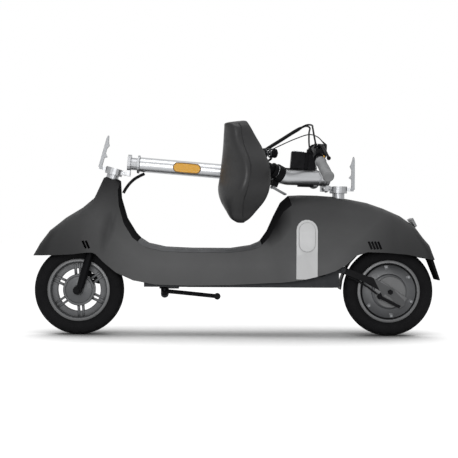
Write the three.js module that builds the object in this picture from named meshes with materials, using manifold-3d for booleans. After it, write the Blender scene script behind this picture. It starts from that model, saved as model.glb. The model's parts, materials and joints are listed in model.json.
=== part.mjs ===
// A seated electric scooter, folded: millimetres, +Z up, the front wheel at -X, the rider's left side at -Y.
import * as THREE from "three";
import { mergeVertices } from "three/addons/utils/BufferGeometryUtils.js";
import Module from "manifold-3d";

const wasm = await Module();
wasm.setup();

// Driving sizes

const OVERALL_LENGTH = 1382;
const WHEELBASE = 1055;
const REAR_AXLE_X = 519.5;
const FRONT_AXLE_X = REAR_AXLE_X - WHEELBASE;
const TYRE_RADIUS = 152.5;
const TYRE_WIDTH = 60;
const RIM_RADIUS = 106;
const AXLE_Z = TYRE_RADIUS;
const RAKE = THREE.MathUtils.degToRad(15.6);
const FORK_OFFSET = 3;
const GAP = 0.3;
const OVERRUN = 4;

// The folding hinges, alike at the stem and at the seat

const HINGE = {
  collarRadius: 30,
  collarHeight: 23,
  stubRadius: 21,
  pinOffset: 36,
  pinDrop: 9,
  pinRadius: 4,
  barrelRadius: 6.8,
  roomRadius: 8.4,
  middleLength: 18,
  earLength: 11,
  plateThickness: 11,
  plateRadius: 31,
  sweepRadius: 12.5,
  latchOffset: 47,
  latchDrop: 10,
  latchBarrel: 6,
  latchWidth: 15,
  latchHeight: 112,
  latchDepth: 11,
  hookRise: 30,
  hookReach: 9,
};

// Helpers: every closed geometry becomes a manifold solid

const at = (x, y, z) => new THREE.Vector3(x, y, z);

function solid(geometry) {
  const bare = geometry.clone();
  bare.deleteAttribute("normal");
  bare.deleteAttribute("uv");
  const merged = mergeVertices(bare, 1e-4);
  const triVerts = new Uint32Array(merged.index.array);
  const vertProperties = new Float32Array(merged.attributes.position.array);
  return new wasm.Manifold(new wasm.Mesh({ numProp: 3, vertProperties, triVerts }));
}

const union = (...parts) => parts.reduce((sum, part) => sum.add(part));
const cut = (body, ...tools) => tools.reduce((rest, tool) => rest.subtract(tool), body);

function block(centre, x, y, z) {
  return solid(new THREE.BoxGeometry(x, y, z).translate(centre.x, centre.y, centre.z));
}

// A round bar between two points, tapering where two radii are given.
function rod(from, to, radius, sides = 12, endRadius = radius) {
  const along = to.clone().sub(from);
  const geometry = new THREE.CylinderGeometry(endRadius, radius, along.length(), sides);
  const turn = new THREE.Quaternion().setFromUnitVectors(at(0, 1, 0), along.clone().normalize());
  geometry.applyQuaternion(turn);
  geometry.translate(...from.clone().add(to).multiplyScalar(0.5).toArray());
  return solid(geometry);
}

const pipe = (from, to, outer, inner, sides = 16) => {
  const reach = to.clone().sub(from).setLength(OVERRUN);
  const bore = rod(from.clone().sub(reach), to.clone().add(reach), inner, sides);
  return rod(from, to, outer, sides).subtract(bore);
};

// A round bar along a smooth curve through points.
function bentRod(points, radius, sides = 10, steps = 24) {
  const ring = new THREE.Shape();
  for (let side = 0; side < sides; side++) {
    const angle = (side / sides) * 2 * Math.PI;
    const [x, y] = [radius * Math.cos(angle), radius * Math.sin(angle)];
    if (side === 0) ring.moveTo(x, y);
    else ring.lineTo(x, y);
  }
  const extrudePath = new THREE.CatmullRomCurve3(points, false, "centripetal");
  return solid(new THREE.ExtrudeGeometry(ring, { steps, bevelEnabled: false, extrudePath }));
}

// A plate standing in the XZ plane from one Y to another.
function plate(outline, fromY, toY) {
  const shape = new THREE.Shape(outline.map(([x, z]) => new THREE.Vector2(x, z)));
  const geometry = new THREE.ExtrudeGeometry(shape, { depth: toY - fromY, bevelEnabled: false });
  return solid(geometry.rotateX(Math.PI / 2).translate(0, toY, 0));
}

// A turned piece about Y (the wheels) from pairs of radius and Y.
function turned(profile, segments = 32) {
  const points = profile.map(([radius, y]) => new THREE.Vector2(radius, y));
  return solid(new THREE.LatheGeometry(points, segments));
}

function moved(body, offset, angles = [0, 0, 0]) {
  const euler = new THREE.Euler(...angles);
  const matrix = new THREE.Matrix4().makeRotationFromEuler(euler).setPosition(offset);
  return body.transform(matrix.elements);
}

const mirrored = (body) => body.mirror([0, 1, 0]);

const round = (count, place) => Array.from({ length: count }, (_, index) => place(index));

// Materials

const paint = (color, roughness, metalness) =>
  new THREE.MeshStandardMaterial({ color, roughness, metalness });

const SHELL_GREY = () => paint(0x55565a, 0.55, 0.1);
const PANEL_BLACK = () => paint(0x2b2c2e, 0.6, 0);
const MAT_GREY = () => paint(0x77787a, 0.85, 0);
const STRIP_GREY = () => paint(0xc9cacb, 0.45, 0);
const FRAME_STEEL = () => paint(0x3b3d40, 0.5, 0.6);
const BLACK_METAL = () => paint(0x1c1d1f, 0.4, 0.7);
const SATIN_ALLOY = () => paint(0xb9bdc1, 0.35, 0.9);
const BRIGHT_STEEL = () => paint(0xd7dade, 0.15, 1);
const WHEEL_GREY = () => paint(0x6b6d70, 0.45, 0.6);
const TYRE_RUBBER = () => paint(0x242526, 0.9, 0);
const GRIP_RUBBER = () => paint(0xa6a7a8, 0.85, 0);
const BLACK_PLASTIC = () => paint(0x18191a, 0.5, 0);
const CLEAR_LENS = () => paint(0xcfd6da, 0.1, 0);
const AMBER_LENS = () => paint(0xd98a2b, 0.2, 0);
const SADDLE_SKIN = () => paint(0x2c2c2d, 0.6, 0);
const SEAT_SPRING = () => paint(0x2a2b2d, 0.35, 0.8);

const scooter = new THREE.Group();
scooter.name = "scooter";

function addTo(group, name, body, material) {
  const { vertProperties, triVerts } = body.getMesh();
  const geometry = new THREE.BufferGeometry();
  geometry.setAttribute("position", new THREE.BufferAttribute(new Float32Array(vertProperties), 3));
  geometry.setIndex(new THREE.BufferAttribute(new Uint32Array(triVerts), 1));
  geometry.computeVertexNormals();
  const mesh = new THREE.Mesh(geometry, material);
  mesh.name = name;
  group.add(mesh);
  return mesh;
}

function frameAt(parent, name, position, angles = [0, 0, 0]) {
  const group = new THREE.Group();
  group.name = name;
  group.position.copy(position);
  group.rotation.set(...angles);
  parent.add(group);
  return group;
}

// Notes on a moving group where its joint lies and which way it turns or slides.
function joint(group, pivot, axis) {
  group.userData = { pivot: pivot.toArray(), axis: axis.toArray() };
}

// The body skin: stations from nose to tail, each from a point on the upper silhouette
// to one on the lower edge, with half widths at seven depths between them

const SKIN_HEIGHT = 479;
const SKIN_HALF_WIDTH = 130;
const SKIN_THICKNESS = 3.2;
const HALF_LENGTH = OVERALL_LENGTH / 2;
const DEPTH_SHARES = [0, 0.04, 0.12, 0.25, 0.45, 0.7, 1];

// Each row: top x and z, bottom x and z, widest half width, then the width at each depth
const STATION_SHARES = [
  [-1, 0.566, -1, 0.561, 0.16, [0, 0.6, 0.8, 0.9, 0.96, 1, 1]],
  [-0.967, 0.649, -0.948, 0.563, 0.46, [0, 0.45, 0.7, 0.86, 0.96, 1, 1]],
  [-0.916, 0.747, -0.868, 0.568, 0.7, [0, 0.42, 0.68, 0.85, 0.96, 1, 1]],
  [-0.842, 0.833, -0.793, 0.574, 0.84, [0, 0.4, 0.66, 0.84, 0.96, 1, 1]],
  [-0.761, 0.904, -0.732, 0.585, 0.9, [0, 0.34, 0.58, 0.78, 0.94, 1, 1]],
  [-0.703, 0.975, -0.711, 0.588, 0.91, [0, 0.24, 0.41, 0.6, 0.83, 0.96, 1]],
  [-0.658, 1.117, -0.692, 0.587, 0.91, [0, 0.12, 0.2, 0.34, 0.64, 0.89, 1]],
  [-0.615, 1.106, -0.677, 0.576, 0.91, [0.255, 0.26, 0.28, 0.36, 0.6, 0.87, 1]],
  [-0.572, 1.094, -0.662, 0.556, 0.9, [0, 0.16, 0.27, 0.37, 0.6, 0.87, 1]],
  [-0.567, 0.975, -0.645, 0.53, 0.89, [0, 0.24, 0.4, 0.5, 0.69, 0.88, 1]],
  [-0.538, 0.833, -0.622, 0.5, 0.87, [0, 0.42, 0.62, 0.71, 0.83, 0.93, 0.99]],
  [-0.493, 0.727, -0.579, 0.449, 0.84, [0, 0.6, 0.8, 0.86, 0.93, 0.98, 0.99]],
  [-0.431, 0.656, -0.498, 0.395, 0.81, [0, 0.74, 0.9, 0.94, 0.98, 1, 0.98]],
  [-0.347, 0.63, -0.391, 0.366, 0.79, [0, 0.84, 0.95, 0.98, 1, 1, 0.97]],
  [-0.217, 0.622, -0.217, 0.359, 0.785, [0, 0.88, 0.96, 0.98, 1, 1, 0.96]],
  [-0.03, 0.622, -0.03, 0.365, 0.785, [0, 0.88, 0.96, 0.98, 1, 1, 0.96]],
  [0.067, 0.643, 0.082, 0.374, 0.8, [0, 0.84, 0.95, 0.98, 1, 1, 0.97]],
  [0.109, 0.668, 0.152, 0.38, 0.83, [0, 0.77, 0.91, 0.96, 0.99, 1, 0.98]],
  [0.149, 0.743, 0.217, 0.384, 0.88, [0, 0.66, 0.83, 0.92, 0.98, 1, 0.98]],
  [0.182, 0.85, 0.268, 0.393, 0.93, [0, 0.56, 0.75, 0.88, 0.97, 1, 0.98]],
  [0.216, 0.946, 0.311, 0.403, 0.96, [0, 0.48, 0.69, 0.86, 0.97, 1, 0.98]],
  [0.256, 0.996, 0.351, 0.415, 0.98, [0, 0.44, 0.67, 0.85, 0.97, 1, 0.98]],
  [0.314, 1, 0.391, 0.43, 1, [0, 0.43, 0.67, 0.85, 0.97, 1, 0.99]],
  [0.395, 0.998, 0.434, 0.447, 1, [0, 0.43, 0.67, 0.85, 0.97, 1, 0.99]],
  [0.478, 0.99, 0.478, 0.47, 1, [0, 0.43, 0.67, 0.85, 0.97, 1, 0.99]],
  [0.56, 0.971, 0.527, 0.511, 1, [0, 0.43, 0.67, 0.85, 0.97, 1, 0.99]],
  [0.643, 0.948, 0.572, 0.573, 0.99, [0, 0.43, 0.67, 0.85, 0.97, 1, 0.99]],
  [0.725, 0.908, 0.63, 0.601, 0.98, [0, 0.43, 0.67, 0.86, 0.97, 1, 0.99]],
  [0.808, 0.856, 0.735, 0.595, 0.94, [0, 0.44, 0.68, 0.86, 0.97, 1, 0.99]],
  [0.872, 0.789, 0.821, 0.584, 0.87, [0, 0.46, 0.7, 0.87, 0.98, 1, 0.99]],
  [0.915, 0.704, 0.884, 0.567, 0.77, [0, 0.5, 0.73, 0.89, 0.98, 1, 0.99]],
  [0.944, 0.656, 0.932, 0.552, 0.64, [0, 0.54, 0.77, 0.91, 0.98, 1, 1]],
  [0.967, 0.558, 0.967, 0.545, 0.5, [0, 0.6, 0.8, 0.92, 0.98, 1, 1]],
];

const KNEE_START = 8;
const MAT_START = 11.4;
const MAT_END = 17.2;
const TOWER_END = 21;
const PANEL_DEPTH = 2;
const LAST_STATION = STATION_SHARES.length - 1;
const LAST_DEPTH = DEPTH_SHARES.length - 1;

// One smooth curve from nose to tail for each depth
const depthCurves = DEPTH_SHARES.map((depth, level) => {
  const points = STATION_SHARES.map(([topX, topZ, lowX, lowZ, widest, widths]) =>
    at(
      HALF_LENGTH * THREE.MathUtils.lerp(topX, lowX, depth),
      SKIN_HALF_WIDTH * widest * widths[level],
      SKIN_HEIGHT * THREE.MathUtils.lerp(topZ, lowZ, depth),
    ),
  );
  return new THREE.CatmullRomCurve3(points, false, "catmullrom", 0.5);
});

function skinPoint(station, depth) {
  const along = station / LAST_STATION;
  const side = Math.min(Math.abs(depth), LAST_DEPTH);
  const level = Math.min(Math.floor(side), LAST_DEPTH - 1);
  const [near, far] = [depthCurves[level], depthCurves[level + 1]];
  const point = near.getPoint(along).lerp(far.getPoint(along), side - level);
  if (depth < 0) point.y = -point.y;
  return point;
}

// A shell over the cells of a grid of skin points that a test lets through, thickened inwards.
function panel(stations, depths, thickness, holds = () => true) {
  const step = 0.4;
  const outer = stations.map((s) => depths.map((d) => skinPoint(s, d)));
  const inner = stations.map((s, row) =>
    depths.map((d, column) => {
      const alongs = skinPoint(Math.min(s + step, LAST_STATION), d);
      alongs.sub(skinPoint(Math.max(s - step, 0), d));
      const across = skinPoint(s, Math.min(d + step, LAST_DEPTH)).sub(skinPoint(s, d - step));
      const normal = alongs.cross(across).normalize();
      return outer[row][column].clone().addScaledVector(normal, -thickness);
    }),
  );
  const positions = [];
  const quad = (a, b, c, d) => [a, b, c, a, c, d].forEach((p) => positions.push(...p.toArray()));
  const full = (row, column) =>
    row >= 0 &&
    column >= 0 &&
    row < stations.length - 1 &&
    column < depths.length - 1 &&
    holds(
      (stations[row] + stations[row + 1]) / 2,
      (depths[column] + depths[column + 1]) / 2,
    );
  for (let i = 0; i < stations.length - 1; i++)
    for (let j = 0; j < depths.length - 1; j++) {
      if (!full(i, j)) continue;
      quad(outer[i][j], outer[i + 1][j], outer[i + 1][j + 1], outer[i][j + 1]);
      quad(inner[i][j], inner[i][j + 1], inner[i + 1][j + 1], inner[i + 1][j]);
      if (!full(i, j - 1)) quad(outer[i][j], inner[i][j], inner[i + 1][j], outer[i + 1][j]);
      if (!full(i, j + 1))
        quad(outer[i + 1][j + 1], inner[i + 1][j + 1], inner[i][j + 1], outer[i][j + 1]);
      if (!full(i - 1, j)) quad(outer[i][j + 1], inner[i][j + 1], inner[i][j], outer[i][j]);
      if (!full(i + 1, j))
        quad(outer[i + 1][j], inner[i + 1][j], inner[i + 1][j + 1], outer[i + 1][j + 1]);
    }
  const geometry = new THREE.BufferGeometry();
  geometry.setAttribute("position", new THREE.Float32BufferAttribute(positions, 3));
  return solid(geometry);
}

const NECK_STATIONS = [6.35, 6.7, 7.3, 7.65];
const stationsFrom = (first, last) => {
  const all = [...round(LAST_STATION + 1, (i) => i), ...NECK_STATIONS].sort((a, b) => a - b);
  return [first, ...all.filter((station) => station > first && station < last), last];
};
const SEAM = 0.03;
const COVER_DEPTHS = [0, 1, PANEL_DEPTH + SEAM, 3, 4, 5, LAST_DEPTH];
const PANEL_DEPTHS = [-PANEL_DEPTH + SEAM, -1, 0, 1, PANEL_DEPTH - SEAM];

const outsideOfPanels = (station, depth) =>
  depth > PANEL_DEPTH || station < KNEE_START || station > TOWER_END;

const PILL_STEPS = 9;
const COVER = {
  capX: 234,
  capHalfWidth: 26,
  capTop: 384,
  capLow: 288,
  stripHalfWidth: 35,
  stripTop: 394,
  stripLow: 196,
  capThickness: 9,
  capHingeY: -139,
  ventWidth: 7,
  ventLength: 28,
  ventLean: 0.42,
  frontVentX: -505,
  frontVentZ: 308,
  frontVents: 2,
  rearVentX: 443,
  rearVentZ: 310,
  rearVents: 4,
  ventPitch: 10.5,
};

// The half circle of a pill's end, from an angle on
const pillEnd = (centreX, centreZ, radius, start) =>
  round(PILL_STEPS + 1, (i) => {
    const angle = start + (i / PILL_STEPS) * Math.PI;
    return [centreX + radius * Math.cos(angle), centreZ + radius * Math.sin(angle)];
  });

// A plate on the side of the body with a round top, and a round foot if it is wanted.
function sidePlate(halfWidth, topZ, footZ, roundFoot) {
  const top = pillEnd(COVER.capX, topZ - halfWidth, halfWidth, 0);
  const flatFoot = [
    [COVER.capX - halfWidth, footZ],
    [COVER.capX + halfWidth, footZ],
  ];
  const foot = roundFoot ? pillEnd(COVER.capX, footZ + halfWidth, halfWidth, Math.PI) : flatFoot;
  return plate([...top, ...foot], -2 * SKIN_HALF_WIDTH, 0);
}

function ventCuts() {
  const slot = (x, z) => {
    const body = block(at(0, 0, 0), COVER.ventWidth, SKIN_HALF_WIDTH, COVER.ventLength);
    return moved(body, at(x, -SKIN_HALF_WIDTH, z), [0, -COVER.ventLean, 0]);
  };
  const row = (count, x, z) => round(count, (i) => slot(x + i * COVER.ventPitch, z));
  return [
    ...row(COVER.frontVents, COVER.frontVentX, COVER.frontVentZ),
    ...row(COVER.rearVents, COVER.rearVentX, COVER.rearVentZ),
  ];
}

function sideShell() {
  const shell = panel(stationsFrom(0, LAST_STATION), COVER_DEPTHS, SKIN_THICKNESS, outsideOfPanels);
  return mirrored(moved(shell, at(0, GAP / 2, 0)));
}
const leftShell = sideShell();
const SEAT_X = 349;
const SEAT_TOP = 509;
const stubHole = rod(
  at(SEAT_X, 0, SEAT_TOP / 2),
  at(SEAT_X, 0, SEAT_TOP),
  HINGE.stubRadius + GAP,
  20,
);
const leftCover = cut(leftShell, ...ventCuts(), stubHole);

const chassis = frameAt(scooter, "chassis", at(0, 0, 0));
addTo(chassis, "side_cover_left", leftCover, SHELL_GREY());
addTo(chassis, "side_cover_right", mirrored(leftCover), SHELL_GREY());

const coverTools = [moved(leftShell, at(0, GAP, 0)), moved(mirrored(leftShell), at(0, -GAP, 0))];
const largest = (body) => body.decompose().sort((a, b) => b.volume() - a.volume())[0];
const MAT_THICKNESS = 17;

function middlePanel(name, first, last, thickness, material) {
  const body = panel(stationsFrom(first, last), PANEL_DEPTHS, thickness);
  addTo(chassis, name, largest(cut(body, ...coverTools)), material);
}

middlePanel("knee_panel", KNEE_START + SEAM, MAT_START - SEAM, SKIN_THICKNESS, PANEL_BLACK());
middlePanel("floor_mat", MAT_START + SEAM, MAT_END - SEAM, MAT_THICKNESS, MAT_GREY());
middlePanel("seat_tower_panel", MAT_END + SEAM, TOWER_END - SEAM, SKIN_THICKNESS, PANEL_BLACK());

// Frame, battery and everything else that the shells cover

const FRAME = {
  headOuter: 21,
  headInner: 15.2,
  headLow: 240,
  headTop: 374,
  steererRadius: 13,
  beamDepth: 30,
  beamHalfWidth: 25,
  beamZ: 252,
  kneeX: -352,
  downTopX: -445,
  downTopZ: 425,
  mastFootX: 190,
  mastBendX: 236,
  mastBendZ: 436,
  seatBeamZ: 444,
  rearX: 322,
  rearZ: 238,
  crossHalfWidth: 75,
  lugThickness: 6,
};
const AXIS_FOOT = at(
  FRONT_AXLE_X + FORK_OFFSET * Math.cos(RAKE),
  0,
  AXLE_Z - FORK_OFFSET * Math.sin(RAKE),
);
const STEER_UP = at(Math.sin(RAKE), 0, Math.cos(RAKE));
const onSteerAxis = (distance) => AXIS_FOOT.clone().addScaledVector(STEER_UP, distance);

const PIVOT = at(356, 0, 227);
const PIVOT_BOLT_RADIUS = 6;
const ARM_BARREL_RADIUS = 10;
const LUG_RADIUS = 12;
const SHOCK = {
  z: 289,
  bodyFront: 240,
  boreFront: 262,
  bodyRear: 305,
  radius: 17,
  boreRadius: 9,
  rodRadius: 8.5,
  rodFront: 285,
  eyeX: 354,
  eyeRadius: 9,
  eyeHole: 5.2,
  eyePin: 4,
  eyeHalf: 9,
};

// A square-sided beam between two points of the XZ plane, from one Y to another.
function slab([fromX, fromZ], [toX, toZ], depth, fromY, toY) {
  const [dx, dz] = [toX - fromX, toZ - fromZ];
  const length = Math.hypot(dx, dz);
  const [sideX, sideZ] = [((dz / length) * depth) / 2, ((-dx / length) * depth) / 2];
  const outline = [
    [fromX - sideX, fromZ - sideZ],
    [fromX + sideX, fromZ + sideZ],
    [toX + sideX, toZ + sideZ],
    [toX - sideX, toZ - sideZ],
  ];
  return plate(outline.reverse(), fromY, toY);
}
const beam = (from, to, depth, halfWidth) => slab(from, to, depth, -halfWidth, halfWidth);

const acrossAt = (x, z, halfWidth, radius, sides = 12) =>
  rod(at(x, -halfWidth, z), at(x, halfWidth, z), radius, sides);

function mainFrame() {
  const { beamDepth, beamHalfWidth } = FRAME;
  const corners = [
    [FRAME.downTopX, FRAME.downTopZ],
    [FRAME.kneeX, FRAME.beamZ],
    [FRAME.mastFootX, FRAME.beamZ],
    [FRAME.mastBendX, FRAME.mastBendZ],
    [SEAT_X, FRAME.seatBeamZ],
  ];
  const runs = corners
    .slice(1)
    .map((corner, i) => beam(corners[i], corner, beamDepth, beamHalfWidth));
  const joints = corners
    .slice(1, -1)
    .map(([x, z]) => acrossAt(x, z, beamHalfWidth, beamDepth / 2));
  const tail = beam([FRAME.mastFootX, FRAME.beamZ], [FRAME.rearX, FRAME.rearZ], beamDepth, beamHalfWidth);
  const cross = block(
    at(FRAME.rearX, 0, FRAME.rearZ),
    beamDepth,
    2 * FRAME.crossHalfWidth,
    beamDepth,
  );
  const lugs = [-1, 1].map((side) => {
    const outerY = side * FRAME.crossHalfWidth;
    const innerY = outerY - side * FRAME.lugThickness;
    const [low, high] = [Math.min(outerY, innerY), Math.max(outerY, innerY)];
    const arm = plate(
      [
        [FRAME.rearX, PIVOT.z - LUG_RADIUS],
        [PIVOT.x, PIVOT.z - LUG_RADIUS],
        [PIVOT.x, PIVOT.z + LUG_RADIUS],
        [FRAME.rearX, PIVOT.z + LUG_RADIUS],
      ],
      low,
      high,
    );
    return arm.add(rod(at(PIVOT.x, low, PIVOT.z), at(PIVOT.x, high, PIVOT.z), LUG_RADIUS));
  });
  const head = rod(onSteerAxis(FRAME.headLow), onSteerAxis(FRAME.headTop), FRAME.headOuter);
  const solidFrame = union(...runs, ...joints, tail, cross, ...lugs, head);
  const headBore = rod(
    onSteerAxis(FRAME.headLow - beamDepth),
    onSteerAxis(FRAME.headTop + beamDepth),
    FRAME.headInner,
  );
  const bolt = acrossAt(PIVOT.x, PIVOT.z, FRAME.crossHalfWidth + OVERRUN, PIVOT_BOLT_RADIUS);
  const lugLength = SHOCK.bodyFront - GAP - FRAME.mastFootX;
  const shockLug = block(
    at(FRAME.mastFootX + lugLength / 2, 0, SHOCK.z),
    lugLength,
    FRAME.beamHalfWidth,
    SHOCK.radius,
  );
  return cut(union(solidFrame, bolt, shockLug), headBore);
}
addTo(chassis, "main_frame", mainFrame(), FRAME_STEEL());

const TRAY = {
  front: -309,
  rear: 345,
  low: 167,
  wallTop: 204,
  rearTop: 238,
  halfWidth: 81,
  sheet: 3,
  rise: 290,
  padFront: -165,
  padRear: 330,
  padHalf: 52,
  padDepth: 2,
};

function floorTray() {
  const { sheet } = TRAY;
  const side = (inset) => [
    [TRAY.front + inset, TRAY.low + inset],
    [TRAY.rear - inset, TRAY.low + inset],
    [TRAY.rear - inset, TRAY.rearTop + inset],
    [TRAY.rise, TRAY.wallTop + inset],
    [TRAY.front + inset, TRAY.wallTop + inset],
  ];
  const outer = plate(side(0), -TRAY.halfWidth, TRAY.halfWidth);
  const inner = plate(side(sheet), sheet - TRAY.halfWidth, TRAY.halfWidth - sheet);
  const lugNotch = block(
    at(TRAY.rear, 0, TRAY.rearTop),
    4 * sheet,
    2 * (FRAME.crossHalfWidth + GAP),
    2 * (TRAY.rearTop - PIVOT.z + LUG_RADIUS + GAP),
  );
  const pad = block(
    at((TRAY.padFront + TRAY.padRear) / 2, 0, TRAY.low + (sheet - TRAY.padDepth) / 2 - GAP),
    TRAY.padRear - TRAY.padFront,
    2 * TRAY.padHalf,
    sheet + TRAY.padDepth - 2 * GAP,
  );
  return cut(outer, inner, lugNotch).add(pad);
}
const tray = floorTray();
addTo(chassis, "floor_tray", tray, FRAME_STEEL());

// Trim on the rear body: strip, charging cap, mudflap and tail light

// The outside of the left shell moved out by a rise, kept where a plate stands in front of it
function cladding(outline, from, to) {
  const slab = (rise) => moved(leftShell, at(0, -rise, 0));
  const sheets = round(Math.ceil((to - from) / SKIN_THICKNESS), (i) =>
    slab(Math.min(from + i * SKIN_THICKNESS * 0.8, to - SKIN_THICKNESS)),
  );
  const skin = union(...sheets).subtract(slab(from - SKIN_THICKNESS));
  return largest(skin.intersect(outline));
}
const trimFrom = SKIN_THICKNESS + GAP;
const stripBody = cladding(
  sidePlate(COVER.stripHalfWidth, COVER.stripTop, COVER.stripLow, false),
  trimFrom,
  trimFrom + SKIN_THICKNESS,
);
const capSeat = sidePlate(COVER.capHalfWidth + GAP, COVER.capTop + GAP, COVER.capLow - GAP, true);
addTo(chassis, "side_trim_left", stripBody.subtract(capSeat), STRIP_GREY());
const capBody = cladding(
  sidePlate(COVER.capHalfWidth, COVER.capTop, COVER.capLow, true),
  trimFrom,
  trimFrom + COVER.capThickness,
);
const rightTrim = mirrored(stripBody.add(capBody));
addTo(chassis, "side_trim_right", rightTrim, STRIP_GREY());
const chargeCap = frameAt(scooter, "charge_cap", at(0, 0, 0));
addTo(chargeCap, "charge_port_cap", capBody, STRIP_GREY());
joint(chargeCap, at(COVER.capX, COVER.capHingeY, COVER.capLow), at(1, 0, 0));

const FLAP = {
  topFront: HALF_LENGTH - 34,
  topRear: HALF_LENGTH - 23,
  tipRear: HALF_LENGTH,
  tipZ: 192,
  topZ: 262,
  halfWidth: 45,
  thickness: 6,
  rootHeight: 28,
};
const flapOutline = [
  [FLAP.topFront, FLAP.topZ],
  [FLAP.topRear - 2 * GAP, FLAP.topZ],
  [FLAP.tipRear, FLAP.tipZ],
  [FLAP.tipRear - FLAP.thickness, FLAP.tipZ],
];
const flapRoot = plate(
  [
    [FLAP.topFront, FLAP.topZ - OVERRUN],
    [FLAP.topRear - 2 * OVERRUN, FLAP.topZ - OVERRUN],
    [FLAP.topRear - 2 * OVERRUN, FLAP.topZ + FLAP.rootHeight],
    [FLAP.topFront - OVERRUN, FLAP.topZ + FLAP.rootHeight],
  ],
  -FLAP.halfWidth,
  FLAP.halfWidth,
);
const flap = plate(flapOutline, -FLAP.halfWidth, FLAP.halfWidth).add(flapRoot);
const shellTools = [moved(leftShell, at(0, 0, 0)), mirrored(leftShell)];
const shellsAround = [at(GAP, 0, 0), at(-GAP, 0, 0), at(0, 0, -GAP)].flatMap((shift) =>
  shellTools.map((shell) => moved(shell, shift)),
);
addTo(chassis, "rear_mudflap", largest(cut(flap, ...shellTools, ...shellsAround)), BLACK_PLASTIC());

const TAIL_LIGHT = {
  frontX: HALF_LENGTH - 101,
  rearX: HALF_LENGTH - 82.5,
  lowZ: 371,
  topZ: 398,
  rise: 5,
  halfWidth: 34,
};
const lightOutline = [
  [TAIL_LIGHT.frontX, TAIL_LIGHT.topZ],
  [TAIL_LIGHT.rearX, TAIL_LIGHT.lowZ],
  [TAIL_LIGHT.rearX + TAIL_LIGHT.rise, TAIL_LIGHT.lowZ + TAIL_LIGHT.rise],
  [TAIL_LIGHT.frontX + 2 * TAIL_LIGHT.rise, TAIL_LIGHT.topZ + TAIL_LIGHT.rise],
];
const lightBody = plate(lightOutline, -TAIL_LIGHT.halfWidth, TAIL_LIGHT.halfWidth);
const raisedShells = shellTools.map((shell) => moved(shell, at(GAP, 0, GAP)));
addTo(chassis, "tail_light", largest(cut(lightBody, ...shellTools, ...raisedShells)), CLEAR_LENS());

// The folding hinge: base, pin and latch seen from the collar's top, with the pin at +X

const unitPin = at(0, 1, 0);
const PIN = at(HINGE.pinOffset, 0, -HINGE.pinDrop);
const alongPin = (direction, distance) => PIN.clone().addScaledVector(direction, distance);

function hingeBase(direction = unitPin) {
  const half = HINGE.middleLength / 2;
  const collar = rod(at(0, 0, -HINGE.collarHeight), at(0, 0, 0), HINGE.collarRadius, 20);
  const web = block(
    at((HINGE.collarRadius + PIN.x) / 2 - HINGE.barrelRadius, 0, PIN.z),
    PIN.x - HINGE.collarRadius + 2 * HINGE.barrelRadius,
    HINGE.middleLength - 4 * GAP,
    2 * HINGE.barrelRadius,
  );
  const barrel = rod(alongPin(direction, -half), alongPin(direction, half), HINGE.barrelRadius);
  const latchLug = block(
    at(-(HINGE.collarRadius + HINGE.latchOffset) / 2, 0, -HINGE.latchDrop),
    HINGE.latchOffset - HINGE.collarRadius + 2 * HINGE.latchBarrel,
    HINGE.latchWidth / 3,
    2 * HINGE.latchBarrel,
  );
  const sweeps = [-1, 1].map((side) =>
    rod(
      alongPin(direction, side * (half + GAP)),
      alongPin(direction, side * (half + 3 * HINGE.earLength)),
      HINGE.sweepRadius,
    ),
  );
  const latchHole = acrossAt(-HINGE.latchOffset, -HINGE.latchDrop, HINGE.latchWidth, HINGE.pinRadius - 1 + GAP);
  return cut(union(collar, web, barrel, latchLug), ...sweeps, latchHole);
}

function hingePin(direction = unitPin) {
  const half = HINGE.middleLength / 2 + HINGE.earLength + GAP;
  return rod(alongPin(direction, -half), alongPin(direction, half), HINGE.pinRadius, 12);
}

// The moving plate, drawn closed on the collar, with its two outer barrels.
function hingePlate(direction = unitPin) {
  const half = HINGE.middleLength / 2;
  const disc = rod(at(0, 0, GAP), at(0, 0, HINGE.plateThickness), HINGE.plateRadius, 20);
  const ears = [-1, 1].map((side) => {
    const from = alongPin(direction, side * (half + 2 * GAP));
    const to = alongPin(direction, side * (half + HINGE.earLength));
    const barrel = rod(from, to, HINGE.barrelRadius);
    const centre = from.clone().add(to).multiplyScalar(0.5);
    const topZ = HINGE.plateThickness;
    const arm = block(
      at(PIN.x - HINGE.barrelRadius / 2, centre.y, topZ / 2 + GAP),
      3 * HINGE.barrelRadius,
      HINGE.earLength - 4 * GAP,
      topZ - 2 * GAP,
    );
    const post = block(
      at(centre.x, centre.y, (topZ + centre.z) / 2),
      2 * HINGE.barrelRadius - OVERRUN,
      HINGE.earLength - 4 * GAP,
      topZ - centre.z - 2 * GAP,
    );
    return union(barrel, arm, post);
  });
  const pinHole = rod(alongPin(direction, -3 * half), alongPin(direction, 3 * half), HINGE.pinRadius + GAP);
  const room = rod(alongPin(direction, -half - GAP), alongPin(direction, half + GAP), HINGE.roomRadius);
  return cut(union(disc, ...ears), pinHole, room);
}

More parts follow.
